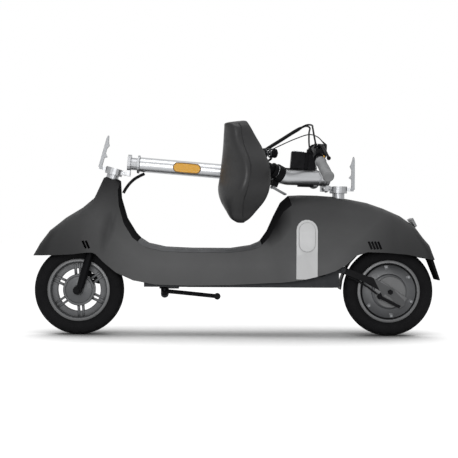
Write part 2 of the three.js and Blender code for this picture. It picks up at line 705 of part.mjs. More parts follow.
// A forked lever on its own pin: two cheeks, a tall blade and a hook above the plate's edge.
function latchLever() {
  const { latchOffset, latchDrop, latchBarrel, latchWidth, latchHeight, latchDepth } = HINGE;
  const halfWidth = latchWidth / 2;
  const bladeX = -latchOffset - latchBarrel / 2;
  const top = latchHeight - latchDrop;
  const outline = [
    [bladeX - latchDepth / 2, -latchDrop],
    [bladeX - latchDepth / 2, top - latchDepth],
    [bladeX - latchDepth / 4, top],
    [bladeX, top],
    [bladeX + latchDepth / 2, top - 2 * latchDepth],
    [bladeX + latchDepth, top - 3 * latchDepth],
    [bladeX + latchDepth / 2, top - 4 * latchDepth],
    [bladeX + latchDepth / 2, HINGE.hookRise + latchDepth],
    [bladeX + latchDepth / 2 + HINGE.hookReach, HINGE.hookRise],
    [bladeX + latchDepth / 2, HINGE.hookRise - latchDepth / 2],
    [bladeX + latchDepth / 2, -latchDrop],
  ];
  const blade = plate(outline.reverse(), -halfWidth, halfWidth);
  const barrel = acrossAt(-latchOffset, -latchDrop, halfWidth, latchBarrel);
  const slot = block(
    at(-latchOffset + latchBarrel, 0, -latchDrop),
    2 * latchOffset,
    latchWidth / 3 + 2 * GAP,
    4 * latchBarrel,
  );
  const pin = acrossAt(-latchOffset, -latchDrop, halfWidth, HINGE.pinRadius - 1);
  return blade.add(barrel).subtract(slot).add(pin);
}

// Steering: a frame on the steering axis with +X to the rear

const steerer = frameAt(scooter, "steerer", AXIS_FOOT, [0, RAKE, 0]);
const FORK = {
  legY: 52,
  lowerRadius: 13,
  boreRadius: 10.9,
  stanchionRadius: 10.5,
  stanchionLow: 118,
  boreLow: 62,
  lowerTop: 168,
  crownLow: 208,
  crownHeight: 24,
  crownDepth: 34,
  braceHeight: 10,
  axleRadius: 6,
  footRadius: 15,
  hubHalfWidth: 28,
};
const BASE_TOP = 432;
const STUB_LOW = FRAME.headTop + 20;

function forkCrown() {
  const crownMiddle = FORK.crownLow + FORK.crownHeight / 2;
  const crown = block(
    at(0, 0, crownMiddle),
    FORK.crownDepth,
    2 * (FORK.legY + FORK.lowerRadius),
    FORK.crownHeight,
  );
  const stanchions = [-1, 1].map((side) =>
    rod(
      at(FORK_OFFSET, side * FORK.legY, FORK.stanchionLow),
      at(FORK_OFFSET, side * FORK.legY, FORK.crownLow + OVERRUN),
      FORK.stanchionRadius,
    ),
  );
  const tube = rod(at(0, 0, crownMiddle), at(0, 0, STUB_LOW), FRAME.steererRadius);
  return union(crown, ...stanchions, tube);
}
addTo(steerer, "fork_crown_steerer", forkCrown(), BLACK_METAL());

const stemStub = rod(
  at(0, 0, STUB_LOW + GAP),
  at(0, 0, BASE_TOP - HINGE.collarHeight + GAP),
  HINGE.stubRadius,
  20,
);
const stemBase = moved(union(hingeBase(), hingePin()), at(0, 0, BASE_TOP)).add(stemStub);
addTo(steerer, "stem_hinge_base", stemBase, SATIN_ALLOY());

const stemLatch = frameAt(steerer, "stem_latch", at(0, 0, BASE_TOP));
addTo(stemLatch, "stem_latch_lever", latchLever(), SATIN_ALLOY());

const forkLower = frameAt(steerer, "fork_lower", at(0, 0, 0));

function lowerLegs() {
  const legs = [-1, 1].map((side) => {
    const leg = rod(
      at(FORK_OFFSET, side * FORK.legY, FORK.footRadius - OVERRUN),
      at(FORK_OFFSET, side * FORK.legY, FORK.lowerTop),
      FORK.lowerRadius,
    );
    const foot = rod(
      at(-FORK_OFFSET, side * (FORK.legY - FORK.lowerRadius + OVERRUN), 0),
      at(-FORK_OFFSET, side * (FORK.legY + FORK.lowerRadius - OVERRUN), 0),
      FORK.footRadius,
    );
    const bore = rod(
      at(FORK_OFFSET, side * FORK.legY, FORK.boreLow),
      at(FORK_OFFSET, side * FORK.legY, FORK.lowerTop + OVERRUN),
      FORK.boreRadius,
    );
    return union(leg, foot).subtract(bore);
  });
  const brace = block(
    at(FORK_OFFSET, 0, FORK.lowerTop - FORK.braceHeight / 2),
    1.4 * FORK.lowerRadius,
    2 * (FORK.legY - FORK.boreRadius - GAP),
    FORK.braceHeight,
  );
  const lug = block(
    at(FORK.lowerRadius + BRAKE.lugLength / 2, FORK.legY - OVERRUN, BRAKE.caliperZ),
    BRAKE.lugLength + FORK.lowerRadius,
    FORK.lowerRadius,
    BRAKE.caliperLength / 2,
  );
  const axleHole = acrossAt(-FORK_OFFSET, 0, 2 * FORK.legY, FORK.axleRadius + GAP);
  return union(...legs, brace, lug).subtract(axleHole);
}

const BRAKE = {
  discRadius: 53,
  discY: 32.5,
  discHalf: 1,
  caliperX: 42,
  caliperZ: 52,
  caliperLength: 36,
  caliperDepth: 24,
  lugLength: 14,
  padGap: 1,
};
addTo(forkLower, "fork_lower_legs", lowerLegs(), BLACK_METAL());

function hexAxle(halfWidth, radius, nutRadius, nutLength) {
  const nuts = [-1, 1].map((side) => {
    const from = at(0, side * halfWidth, 0);
    return rod(from, at(0, side * (halfWidth + nutLength), 0), nutRadius, 6);
  });
  return union(acrossAt(0, 0, halfWidth + nutLength / 2, radius), ...nuts);
}
const frontNutFace = FORK.legY + FORK.lowerRadius - OVERRUN + GAP;
const AXLE_NUT = { radius: 9, length: 8 };
const frontAxle = hexAxle(frontNutFace, FORK.axleRadius, AXLE_NUT.radius, AXLE_NUT.length);
addTo(forkLower, "front_axle", moved(frontAxle, at(-FORK_OFFSET, 0, 0)), BRIGHT_STEEL());

function caliper() {
  const inner = FORK.hubHalfWidth + 4 * GAP;
  const outer = FORK.legY - FORK.lowerRadius / 2 - 3 * OVERRUN;
  const body = block(
    at(BRAKE.caliperX, (inner + outer) / 2, BRAKE.caliperZ),
    BRAKE.caliperDepth,
    outer - inner,
    BRAKE.caliperLength,
  );
  const slot = rod(
    at(-FORK_OFFSET, BRAKE.discY - BRAKE.discHalf - BRAKE.padGap, 0),
    at(-FORK_OFFSET, BRAKE.discY + BRAKE.discHalf + BRAKE.padGap, 0),
    BRAKE.discRadius + BRAKE.padGap,
    40,
  );
  return body.subtract(slot);
}
addTo(forkLower, "front_brake_caliper", caliper(), BLACK_METAL());

// Wheels

const WHEEL_SEGMENTS = 28;
const RIM = {
  barrelInner: 95,
  webInner: 73,
  hubRadius: 54,
  halfWidth: 26,
  webHalf: 8,
  spokes: 6,
  spokeWidth: 8,
  spokeGap: 7,
  turnShare: 0.343,
};

function tyre() {
  const half = TYRE_WIDTH / 2;
  const bead = RIM_RADIUS + GAP;
  const crown = TYRE_RADIUS - bead;
  const SECTION_SHARES = [
    [0, -1],
    [0.3, -1.28],
    [0.6, -1.36],
    [0.88, -1.1],
    [1, -0.48],
    [1, 0.48],
    [0.88, 1.1],
    [0.6, 1.36],
    [0.3, 1.28],
    [0, 1],
    [0.14, 0.7],
    [0.14, -0.7],
    [0, -1],
  ];
  const widest = half / 1.36;
  return turned(SECTION_SHARES.map(([rise, side]) => [bead + crown * rise, widest * side]), WHEEL_SEGMENTS);
}

function frontRim() {
  const { barrelInner, webInner, hubRadius, halfWidth, webHalf } = RIM;
  const ring = turned(
    [
      [webInner, -webHalf],
      [barrelInner, -webHalf],
      [barrelInner, -halfWidth],
      [RIM_RADIUS, -halfWidth],
      [RIM_RADIUS, halfWidth],
      [barrelInner, halfWidth],
      [barrelInner, webHalf],
      [webInner, webHalf],
      [webInner, -webHalf],
    ],
    WHEEL_SEGMENTS,
  );
  const hub = acrossAt(0, 0, FORK.hubHalfWidth, hubRadius, 28);
  const spokes = round(RIM.spokes, (i) => {
    const pair = [-1, 1].map((side) =>
      block(
        at(side * ((RIM.spokeGap + RIM.spokeWidth) / 2), 0, (hubRadius + webInner) / 2),
        RIM.spokeWidth,
        2 * webHalf - 2 * GAP,
        webInner - hubRadius + 4 * OVERRUN,
      ),
    );
    return moved(union(...pair), at(0, 0, 0), [0, ((i - RIM.turnShare) / RIM.spokes) * 2 * Math.PI, 0]);
  });
  const bore = acrossAt(0, 0, 2 * FORK.hubHalfWidth, FORK.axleRadius + 2 * GAP);
  return cut(union(ring, hub, ...spokes), bore);
}
const frontWheel = frameAt(forkLower, "front_wheel", at(-FORK_OFFSET, 0, 0));
addTo(frontWheel, "front_tyre", tyre(), TYRE_RUBBER());
addTo(frontWheel, "front_rim", frontRim(), WHEEL_GREY());
const disc = cut(
  rod(
    at(0, BRAKE.discY - BRAKE.discHalf, 0),
    at(0, BRAKE.discY + BRAKE.discHalf, 0),
    BRAKE.discRadius,
    28,
  ).add(rod(at(0, FORK.hubHalfWidth + GAP, 0), at(0, BRAKE.discY, 0), 0.5 * BRAKE.discRadius, 20)),
  acrossAt(0, 0, 2 * BRAKE.discY, FORK.axleRadius + 2 * GAP),
);
addTo(frontWheel, "front_brake_disc", disc, BRIGHT_STEEL());

// Stem, folded back over the floor: +Z along it from the hinge pin, -X its front

const STEM_FOLDED = THREE.MathUtils.degToRad(79);
const stem = frameAt(steerer, "stem", at(PIN.x, 0, BASE_TOP + PIN.z), [0, STEM_FOLDED, 0]);
const STEM = {
  radius: 25,
  wall: 3,
  length: 572,
  start: 42,
  neckRadius: 21,
  ringRadius: 31,
  ringLow: 34,
  ringHigh: 41,
  reflectorAlong: 204,
  reflectorLength: 92,
  reflectorHeight: 32,
  reflectorDepth: 7,
};
// A place on the stem: distance from the hinge face, distance in front of the tube's axis, and Y
const onStem = (along, front, y = 0) => at(-PIN.x - front, y, -PIN.z + along);
const stemRod = (a, b, radius, sides) => rod(onStem(...a), onStem(...b), radius, sides);

function stemFlange() {
  const plateBody = moved(hingePlate(), at(-PIN.x, 0, -PIN.z));
  const neck = stemRod([OVERRUN, 0], [STEM.ringHigh, 0], STEM.neckRadius, 16);
  const ring = stemRod([STEM.ringLow, 0], [STEM.ringHigh, 0], STEM.ringRadius, 20);
  const spigotRadius = STEM.radius - STEM.wall - 2 * GAP;
  const spigot = stemRod([STEM.ringLow, 0], [STEM.start + STEM.radius, 0], spigotRadius, 16);
  return union(plateBody, neck, ring, spigot);
}
addTo(stem, "stem_flange", stemFlange(), SATIN_ALLOY());
const tubeStart = onStem(STEM.start, 0);
const tubeEnd = onStem(STEM.length, 0);
addTo(
  stem,
  "stem_tube",
  pipe(tubeStart, tubeEnd, STEM.radius, STEM.radius - STEM.wall, 20),
  SATIN_ALLOY(),
);
function sideReflector() {
  const { reflectorAlong, reflectorLength, reflectorHeight, reflectorDepth, radius } = STEM;
  const centre = onStem(reflectorAlong, 0, -radius - GAP);
  const end = reflectorHeight / 2;
  const run = reflectorLength / 2 - end;
  const outline = [...pillEnd(0, run, end, 0), ...pillEnd(0, -run, end, Math.PI)];
  const body = plate(outline, -reflectorDepth, reflectorDepth);
  const tube = rod(at(0, radius, -reflectorLength), at(0, radius, reflectorLength), radius + 2 * GAP, 24);
  return moved(cut(body, tube), centre);
}
const reflector = largest(sideReflector());
addTo(stem, "side_reflector_left", reflector, AMBER_LENS());
addTo(stem, "side_reflector_right", mirrored(reflector), AMBER_LENS());

// The bar's clamp and the lamp keep their places beside the tube's end
const BAR_BEYOND_TUBE = 58;
const BAR_ALONG = STEM.length + BAR_BEYOND_TUBE;
const LAMP = {
  from: BAR_ALONG - 75,
  to: BAR_ALONG - 29,
  front: 88,
  halfWidth: 30,
  lens: 5,
  bezel: 4,
};
const MOUNT = {
  from: BAR_ALONG - 110,
  to: BAR_ALONG + 11,
  thickness: 6,
  halfWidth: 17,
  baseHalfWidth: 12,
  riserFrom: BAR_ALONG - 23,
  clampRadius: 19,
  barAlong: BAR_ALONG,
  barFront: 100,
  clampHalf: 22,
};
const stemFace = STEM.radius + GAP;
const mountFace = stemFace + MOUNT.thickness;

function stemBlock(fromAlong, toAlong, fromFront, toFront, halfWidth) {
  const low = onStem(fromAlong, fromFront);
  const high = onStem(toAlong, toFront);
  const centre = low.clone().add(high).multiplyScalar(0.5);
  return block(centre, toFront - fromFront, 2 * halfWidth, toAlong - fromAlong);
}

const BAR_RADIUS = 11.1;
// Places on the bar: beyond its clamp along the stem, in front of the clamp, and sideways
const BAR_BENDS = [
  [0, 0, 0],
  [0, 0, 28],
  [0, 0, 50],
  [1, -6, 80],
  [3, -21, 125],
  [12, -49, 185],
  [22.5, -76.5, 242],
  [33, -104, 300],
];
const fromClamp = ([along, front, y]) => [MOUNT.barAlong + along, MOUNT.barFront + front, y];
const BAR_ROUTE = BAR_BENDS.map(fromClamp);
const barPoints = [
  ...BAR_ROUTE.slice(1).reverse().map(([along, front, y]) => onStem(along, front, -y)),
  ...BAR_ROUTE.map(([along, front, y]) => onStem(along, front, y)),
];
const barCurve = new THREE.CatmullRomCurve3(barPoints, false, "centripetal");

// The point on the bar's curve at a Y.
function onBar(y) {
  let [low, high] = [0, 1];
  for (let turn = 0; turn < 24; turn++) {
    const middle = (low + high) / 2;
    if (barCurve.getPoint(middle).y < y) low = middle;
    else high = middle;
  }
  return barCurve.getPoint(low);
}

function gooseneck() {
  const base = stemBlock(MOUNT.from, MOUNT.to, stemFace, mountFace, MOUNT.baseHalfWidth);
  const riser = stemBlock(MOUNT.riserFrom, MOUNT.to, stemFace, MOUNT.barFront, MOUNT.baseHalfWidth);
  const clamp = rod(
    onStem(MOUNT.barAlong, MOUNT.barFront, -MOUNT.clampHalf),
    onStem(MOUNT.barAlong, MOUNT.barFront, MOUNT.clampHalf),
    MOUNT.clampRadius,
  );
  const bore = rod(
    onStem(MOUNT.barAlong, MOUNT.barFront, -2 * MOUNT.clampHalf),
    onStem(MOUNT.barAlong, MOUNT.barFront, 2 * MOUNT.clampHalf),
    BAR_RADIUS + 2 * GAP,
  );
  return union(base, riser, clamp).subtract(bore);
}
addTo(stem, "gooseneck", gooseneck(), BLACK_METAL());

addTo(stem, "handlebar", bentRod(barPoints, BAR_RADIUS, 10, 20), BLACK_METAL());

const lampShell = cut(
  stemBlock(LAMP.from, LAMP.to, mountFace + GAP, LAMP.front, LAMP.halfWidth),
  stemBlock(
    LAMP.from + LAMP.bezel,
    LAMP.to - LAMP.bezel,
    LAMP.front - LAMP.lens,
    LAMP.front + OVERRUN,
    LAMP.halfWidth - LAMP.bezel,
  ),
);
addTo(stem, "headlight_housing", lampShell, BLACK_PLASTIC());
const lampLens = stemBlock(
  LAMP.from + LAMP.bezel + GAP,
  LAMP.to - LAMP.bezel - GAP,
  LAMP.front - LAMP.lens + GAP,
  LAMP.front + LAMP.lens / 2,
  LAMP.halfWidth - LAMP.bezel - GAP,
);
addTo(stem, "headlight_lens", lampLens, CLEAR_LENS());

// Handlebar controls

const GRIP = { inner: 187, outer: 299, radius: 19, sides: 14 };
const CONTROL = {
  perchY: 148,
  perchHalf: 9,
  perchRadius: 16,
  perchHeight: 22,
  leverSlack: 1.8,
  pivotFront: 34,
  pivotRadius: 8,
  slotDepth: 25.6,
  leverFront: 52,
  leverRadius: 4.5,
  ballRadius: 7.2,
  leverTipY: 282,
  displayFrom: BAR_ALONG + 21,
  displayTo: BAR_ALONG + 43,
  displayFront: 88,
  displayRadius: 24,
};

function onBarRod(fromY, toY, radius, sides = 16) {
  const [from, to] = [onBar(fromY), onBar(toY)];
  return rod(from, to, radius, sides);
}
const barBore = (fromY, toY) => {
  const [from, to] = [onBar(fromY), onBar(toY)];
  const reach = to.clone().sub(from).setLength(2 * OVERRUN);
  return rod(from.sub(reach), to.add(reach), BAR_RADIUS + 2 * GAP, 16);
};

function grip() {
  const body = onBarRod(-GRIP.inner, -GRIP.outer, GRIP.radius, GRIP.sides);
  return body.subtract(barBore(-GRIP.inner, -GRIP.outer));
}
const leftGrip = grip();
addTo(stem, "grip_left", leftGrip, GRIP_RUBBER());
const throttle = frameAt(stem, "throttle", at(0, 0, 0));
addTo(throttle, "throttle_grip", mirrored(leftGrip), GRIP_RUBBER());
joint(throttle, onBar(GRIP.inner), onBar(GRIP.inner).sub(onBar(GRIP.outer)).normalize());

// The front of the stem seen at a point on the bar: where the lever pivots stand
const leverPivot = (y) => onBar(y).add(at(-CONTROL.pivotFront, 0, 0));

const HORN = { radius: 5, from: 14, to: 21 };
const hornAt = (rise) => onBar(-CONTROL.perchY).add(at(0, 0, rise));
const hornRod = (from, to, radius) => rod(hornAt(from), hornAt(to), radius, 14);

function perch() {
  const y = -CONTROL.perchY;
  const clamp = onBarRod(y - CONTROL.perchHalf, y + CONTROL.perchHalf, CONTROL.perchRadius);
  const pivot = leverPivot(y);
  const arm = block(
    onBar(y).add(pivot).multiplyScalar(0.5),
    CONTROL.pivotFront,
    2 * CONTROL.perchHalf,
    CONTROL.perchHeight,
  );
  const lug = rod(
    pivot.clone().add(at(0, 0, -CONTROL.perchRadius)),
    pivot.clone().add(at(0, 0, CONTROL.perchRadius)),
    CONTROL.pivotRadius,
  );
  const slot = block(
    pivot.clone().add(at(-CONTROL.pivotRadius / 2, 0, 0)),
    CONTROL.slotDepth,
    6 * CONTROL.perchHalf,
    2 * (CONTROL.leverRadius + CONTROL.leverSlack),
  );
  const pin = rod(
    pivot.clone().add(at(0, 0, -CONTROL.perchRadius + GAP)),
    pivot.clone().add(at(0, 0, CONTROL.perchRadius - GAP)),
    HINGE.pinRadius - 1,
  );
  return union(cut(union(clamp, arm, lug), slot), pin).subtract(
    barBore(y - CONTROL.perchHalf, y + CONTROL.perchHalf),
  );
}
const leftPerch = perch();
const hornPocket = hornRod(0, HORN.to, HORN.radius + GAP);
addTo(stem, "brake_perch_left", leftPerch.subtract(hornPocket), BLACK_METAL());
addTo(stem, "brake_perch_right", mirrored(leftPerch), BLACK_METAL());

function brakeLever() {
  const pivot = leverPivot(-CONTROL.perchY);
  const tipOnBar = onBar(-CONTROL.leverTipY);
  const gripStart = onBar(-GRIP.inner);
  const knee = gripStart.clone().add(at(-CONTROL.leverFront, 0, 0));
  const tip = tipOnBar.clone().add(at(-CONTROL.leverFront, 0, 0));
  const eye = rod(
    pivot.clone().add(at(0, 0, -CONTROL.leverRadius)),
    pivot.clone().add(at(0, 0, CONTROL.leverRadius)),
    CONTROL.pivotRadius,
  );
  const blade = bentRod([pivot, knee, tip], CONTROL.leverRadius, 6, 6);
  const ball = solid(
    new THREE.SphereGeometry(CONTROL.ballRadius, 8, 5).translate(...tip.toArray()),
  );
  const hole = rod(
    pivot.clone().add(at(0, 0, -3 * CONTROL.leverRadius)),
    pivot.clone().add(at(0, 0, 3 * CONTROL.leverRadius)),
    HINGE.pinRadius - 1 + GAP,
  );
  return union(eye, blade, ball).subtract(hole);
}
const leftLever = brakeLever();
const leverGroupLeft = frameAt(stem, "brake_lever_left", at(0, 0, 0));
addTo(leverGroupLeft, "brake_lever_rear", leftLever, BLACK_METAL());
const leverGroupRight = frameAt(stem, "brake_lever_right", at(0, 0, 0));
addTo(leverGroupRight, "brake_lever_front", mirrored(leftLever), BLACK_METAL());
joint(leverGroupLeft, leverPivot(-CONTROL.perchY), at(0, 0, 1));
joint(leverGroupRight, leverPivot(CONTROL.perchY), at(0, 0, -1));

function display() {
  const centre = onStem(CONTROL.displayFrom, CONTROL.displayFront + CONTROL.displayRadius / 2);
  const top = onStem(CONTROL.displayTo, CONTROL.displayFront + CONTROL.displayRadius / 2);
  const body = rod(centre, top, CONTROL.displayRadius, 24);
  const foot = stemBlock(
    MOUNT.barAlong + MOUNT.clampRadius + GAP,
    CONTROL.displayFrom + OVERRUN,
    MOUNT.barFront - MOUNT.halfWidth / 2,
    MOUNT.barFront + MOUNT.halfWidth / 2,
    MOUNT.halfWidth,
  );
  return body.add(foot);
}
addTo(stem, "display", display(), BLACK_PLASTIC());

// Horn button on the left lever's housing

const hornGroup = frameAt(stem, "horn", at(0, 0, 0));
addTo(hornGroup, "horn_button", hornRod(HORN.from, HORN.to, HORN.radius), AMBER_LENS());
joint(hornGroup, hornAt(HORN.from), at(0, 0, -1));

// Cables: each route is a hand-picked list of places, counted from the bar's clamp

const CABLE_RADIUS = 3;
const LEAD_RADIUS = 1.8;
const ROUTE_BACK = 221;
const BRAKE_ROUTE = [
  [-3, 4, -138],
  [-10, 35, -118],
  [-15, 66, -84],
  [-17, 80, -45],
  [-34, 81, -20],
  [-70, 58, -9],
  [-115, 24, -6],
  [-160, -10, -6],
  [-198, -42, -5],
  [-ROUTE_BACK, -71, -5],
].map(fromClamp);
const LEAD_ROUTE = [
  [32, 28, 0],
  [10, 46, 0],
  [-18, 52, 0],
  [-64, 34, 0],
  [-115, 6, 0],
  [-162, -22, 0],
  [-206, -54, 0],
  [-232, -71.5, 0],
].map(fromClamp);
const onRoute = (route) => route.map(([along, front, y]) => onStem(along, front, y));
const brakeCable = bentRod(onRoute(BRAKE_ROUTE), CABLE_RADIUS, 8, 17);
addTo(stem, "brake_cable_left", brakeCable, BLACK_PLASTIC());
addTo(stem, "brake_cable_right", mirrored(brakeCable), BLACK_PLASTIC());
addTo(stem, "control_lead", bentRod(onRoute(LEAD_ROUTE), LEAD_RADIUS, 8, 16), BLACK_PLASTIC());

const HARNESS_RADIUS = 5.5;
const HARNESS_ROUTE = [
  [-387.4, 483.3],
  [-378, 500],
  [-366, 516],
  [-350, 531],
  [-332, 542],
  [-315, 550],
];
const harnessPoints = HARNESS_ROUTE.map(([x, z]) => at(x, 0, z));
addTo(chassis, "wiring_harness", bentRod(harnessPoints, HARNESS_RADIUS, 10, 10), BLACK_PLASTIC());

// Seat hinge: its pin is turned so that the folded tube lies beside the stem

const SEAT_YAW = THREE.MathUtils.degToRad(30);
const EIGHTH_TURN = Math.PI / 4;
const seatPin = at(
  -Math.cos(EIGHTH_TURN) * Math.sin(SEAT_YAW / 2),
  Math.cos(EIGHTH_TURN) * Math.cos(SEAT_YAW / 2),
  -Math.cos(EIGHTH_TURN) * Math.sin(SEAT_YAW / 2),
).normalize();
const turnedPin = at(seatPin.x, seatPin.y, -seatPin.z);
const HALF_TURN = [0, 0, Math.PI];
const seatPlace = at(SEAT_X, 0, SEAT_TOP);
const seatStub = rod(
  at(0, 0, FRAME.seatBeamZ + FRAME.beamDepth / 2 + GAP - SEAT_TOP),
  at(0, 0, GAP - HINGE.collarHeight),
  HINGE.stubRadius,
  20,
);
const seatBase = union(hingeBase(turnedPin), hingePin(turnedPin), seatStub);
addTo(chassis, "seat_hinge_base", moved(seatBase, seatPlace, HALF_TURN), SATIN_ALLOY());
const seatLatch = frameAt(scooter, "seat_latch", seatPlace, HALF_TURN);
addTo(seatLatch, "seat_latch_lever", latchLever(), SATIN_ALLOY());

// Seat: drawn upright with its origin on the pin, then folded forward

const SEAT_PIVOT = at(SEAT_X - PIN.x, 0, SEAT_TOP + PIN.z);
const seat = frameAt(scooter, "seat_post", SEAT_PIVOT, [0, -Math.PI / 2, SEAT_YAW, "ZYX"]);
const TUBE = {
  radius: 25.5,
  bendLow: 160,
  bendRadius: 90,
  bend: THREE.MathUtils.degToRad(24),
  tip: 20,
  boreRadius: 21,
  boreDepth: 42,
  postRadius: 20,
  postIn: 38,
  postOut: 60,
};
const TUBE_UP = at(Math.sin(TUBE.bend), 0, Math.cos(TUBE.bend));
const bendPoint = (angle) =>
  at(
    PIN.x + TUBE.bendRadius * (1 - Math.cos(angle)),
    0,
    TUBE.bendLow + TUBE.bendRadius * Math.sin(angle),
  );
const TUBE_END = bendPoint(TUBE.bend).addScaledVector(TUBE_UP, TUBE.tip);
const onPost = (distance) => TUBE_END.clone().addScaledVector(TUBE_UP, distance);

function seatTube() {
  const plateBody = moved(hingePlate(turnedPin), at(PIN.x, 0, -PIN.z), HALF_TURN);
  const foot = -PIN.z + HINGE.plateThickness - OVERRUN;
  const path = [
    at(PIN.x, 0, foot),
    at(PIN.x, 0, TUBE.bendLow / 2),
    ...round(5, (i) => bendPoint((i / 4) * TUBE.bend)),
    TUBE_END,
  ];
  const bore = rod(onPost(-TUBE.boreDepth), onPost(OVERRUN), TUBE.boreRadius, 16);
  return plateBody.add(bentRod(path, TUBE.radius, 14, 8)).subtract(bore);
}
addTo(seat, "seat_tube", seatTube(), SATIN_ALLOY());

const CLAMP = {
  low: -24,
  high: -1,
  wall: 4.5,
  slotHalf: 1.5,
  earReach: 14,
  earHalf: 9,
  leverLength: 56,
  leverThickness: 5,
  leverHalf: 7,
  pivotRadius: 5,
};
function seatClamp() {
  const inner = TUBE.radius + 2 * GAP;
  const outer = inner + CLAMP.wall;
  const ring = pipe(onPost(CLAMP.low), onPost(CLAMP.high), outer, inner, 20);
  const ear = block(
    at(-outer - CLAMP.earReach / 2 + OVERRUN / 2, 0, 0),
    CLAMP.earReach + OVERRUN,
    2 * CLAMP.earHalf,
    CLAMP.high - CLAMP.low,
  );
  const placedEar = moved(ear, onPost((CLAMP.low + CLAMP.high) / 2), [0, TUBE.bend, 0]);
  const throat = block(at(-outer, 0, 0), 2 * outer, 2 * CLAMP.slotHalf, 2 * (CLAMP.high - CLAMP.low));
  const placedThroat = moved(throat, onPost((CLAMP.low + CLAMP.high) / 2), [0, TUBE.bend, 0]);
  const room = rod(onPost(2 * CLAMP.low), onPost(-CLAMP.low), inner, 24);
  return cut(ring.add(placedEar.subtract(room)), placedThroat);
}
const TUBE_SIDE = at(Math.cos(TUBE.bend), 0, -Math.sin(TUBE.bend));
const QR_PIVOT = onPost((CLAMP.low + CLAMP.high) / 2).addScaledVector(
  TUBE_SIDE,
  -TUBE.radius - CLAMP.wall - CLAMP.earReach - CLAMP.pivotRadius - 3 * GAP,
);
addTo(seat, "seat_clamp", seatClamp(), SATIN_ALLOY());
const qrGroup = frameAt(seat, "seat_lever", QR_PIVOT, [0, TUBE.bend, 0]);
const qrBarrel = acrossAt(0, 0, CLAMP.leverHalf, CLAMP.pivotRadius);
const qrBlade = block(
  at(0, 0, -CLAMP.leverLength / 2),
  CLAMP.leverThickness,
  2 * CLAMP.leverHalf,
  CLAMP.leverLength,
);
addTo(qrGroup, "seat_quick_release", qrBarrel.add(qrBlade), SATIN_ALLOY());
joint(qrGroup, at(0, 0, 0), at(0, 1, 0));
joint(seat, at(0, 0, 0), seatPin);

// Saddle, sliding in the tube: post, frame, two coil springs and the cushion

const saddle = frameAt(seat, "saddle", at(0, 0, 0));
const SADDLE = {
  centreX: 50,
  halfLength: 168,
  skirtZ: 286,
  depth: 100,
  halfWidth: 88,
  ceiling: 46,
  rim: 10,
  headRadius: 27,
  headHeight: 16,
  yokeRadius: 12,
  yokeHalf: 30,
  railY: 22,
  railRadius: 4,
  barX: 112,
  barZ: 236,
  barRadius: 5,
  panThickness: 4,
  panFront: -60,
  panRear: 150,
  panHalf: 30,
  wingFront: -10,
  wingRear: 122,
  wingHalf: 45,
};

const SPRING = { coilRadius: 13, wireRadius: 2.5, curls: 5, y: 32, steps: 8, sides: 5 };
const panLow = SADDLE.skirtZ + SADDLE.ceiling - GAP - SADDLE.panThickness;
const springLow = SADDLE.barZ + SADDLE.barRadius + GAP;

function saddleFrame() {
  const post = rod(onPost(-TUBE.postIn), onPost(TUBE.postOut), TUBE.postRadius, 16);
  const head = rod(onPost(GAP), onPost(SADDLE.headHeight), TUBE.radius, 16, SADDLE.headRadius);
  const yoke = onPost(TUBE.postOut);
  const clampBar = rod(
    yoke.clone().add(at(0, -SADDLE.yokeHalf, 0)),
    yoke.clone().add(at(0, SADDLE.yokeHalf, 0)),
    SADDLE.yokeRadius,
  );
  const rails = [-1, 1].map((side) => {
    const y = side * SADDLE.railY;
    const route = [
      at(SADDLE.panFront + SADDLE.railY, y / 2, panLow + GAP),
      at(SADDLE.panFront + 2 * SADDLE.railY, y, panLow - SADDLE.railY),
      at(yoke.x - SADDLE.yokeHalf, y, yoke.z + GAP),
      at(yoke.x, y, yoke.z),
      at(SADDLE.barX - SADDLE.railY, y, SADDLE.barZ + SADDLE.yokeRadius),
      at(SADDLE.barX, y, SADDLE.barZ),
    ];
    return bentRod(route, SADDLE.railRadius, 6, 9);
  });
  const bar = rod(
    at(SADDLE.barX, -SPRING.y - SPRING.coilRadius, SADDLE.barZ),
    at(SADDLE.barX, SPRING.y + SPRING.coilRadius, SADDLE.barZ),
    SADDLE.barRadius,
    10,
  );
  const cups = [-1, 1].map((side) =>
    rod(
      at(SADDLE.barX, side * SPRING.y, SADDLE.barZ - SADDLE.barRadius / 2),
      at(SADDLE.barX, side * SPRING.y, springLow - GAP),
      SPRING.coilRadius + SPRING.wireRadius,
    ),
  );
  const panLength = SADDLE.panRear - SADDLE.panFront;
  const pan = block(
    at((SADDLE.panFront + SADDLE.panRear) / 2, 0, panLow + SADDLE.panThickness / 2),
    panLength,
    2 * SADDLE.panHalf,
    SADDLE.panThickness,
  );
  const wings = block(
    at((SADDLE.wingFront + SADDLE.wingRear) / 2, 0, panLow + SADDLE.panThickness / 2),
    SADDLE.wingRear - SADDLE.wingFront,
    2 * SADDLE.wingHalf,
    SADDLE.panThickness,
  );
  return union(post, head, clampBar, ...rails, bar, ...cups, pan, wings);
}
addTo(saddle, "saddle_frame", saddleFrame(), BLACK_METAL());

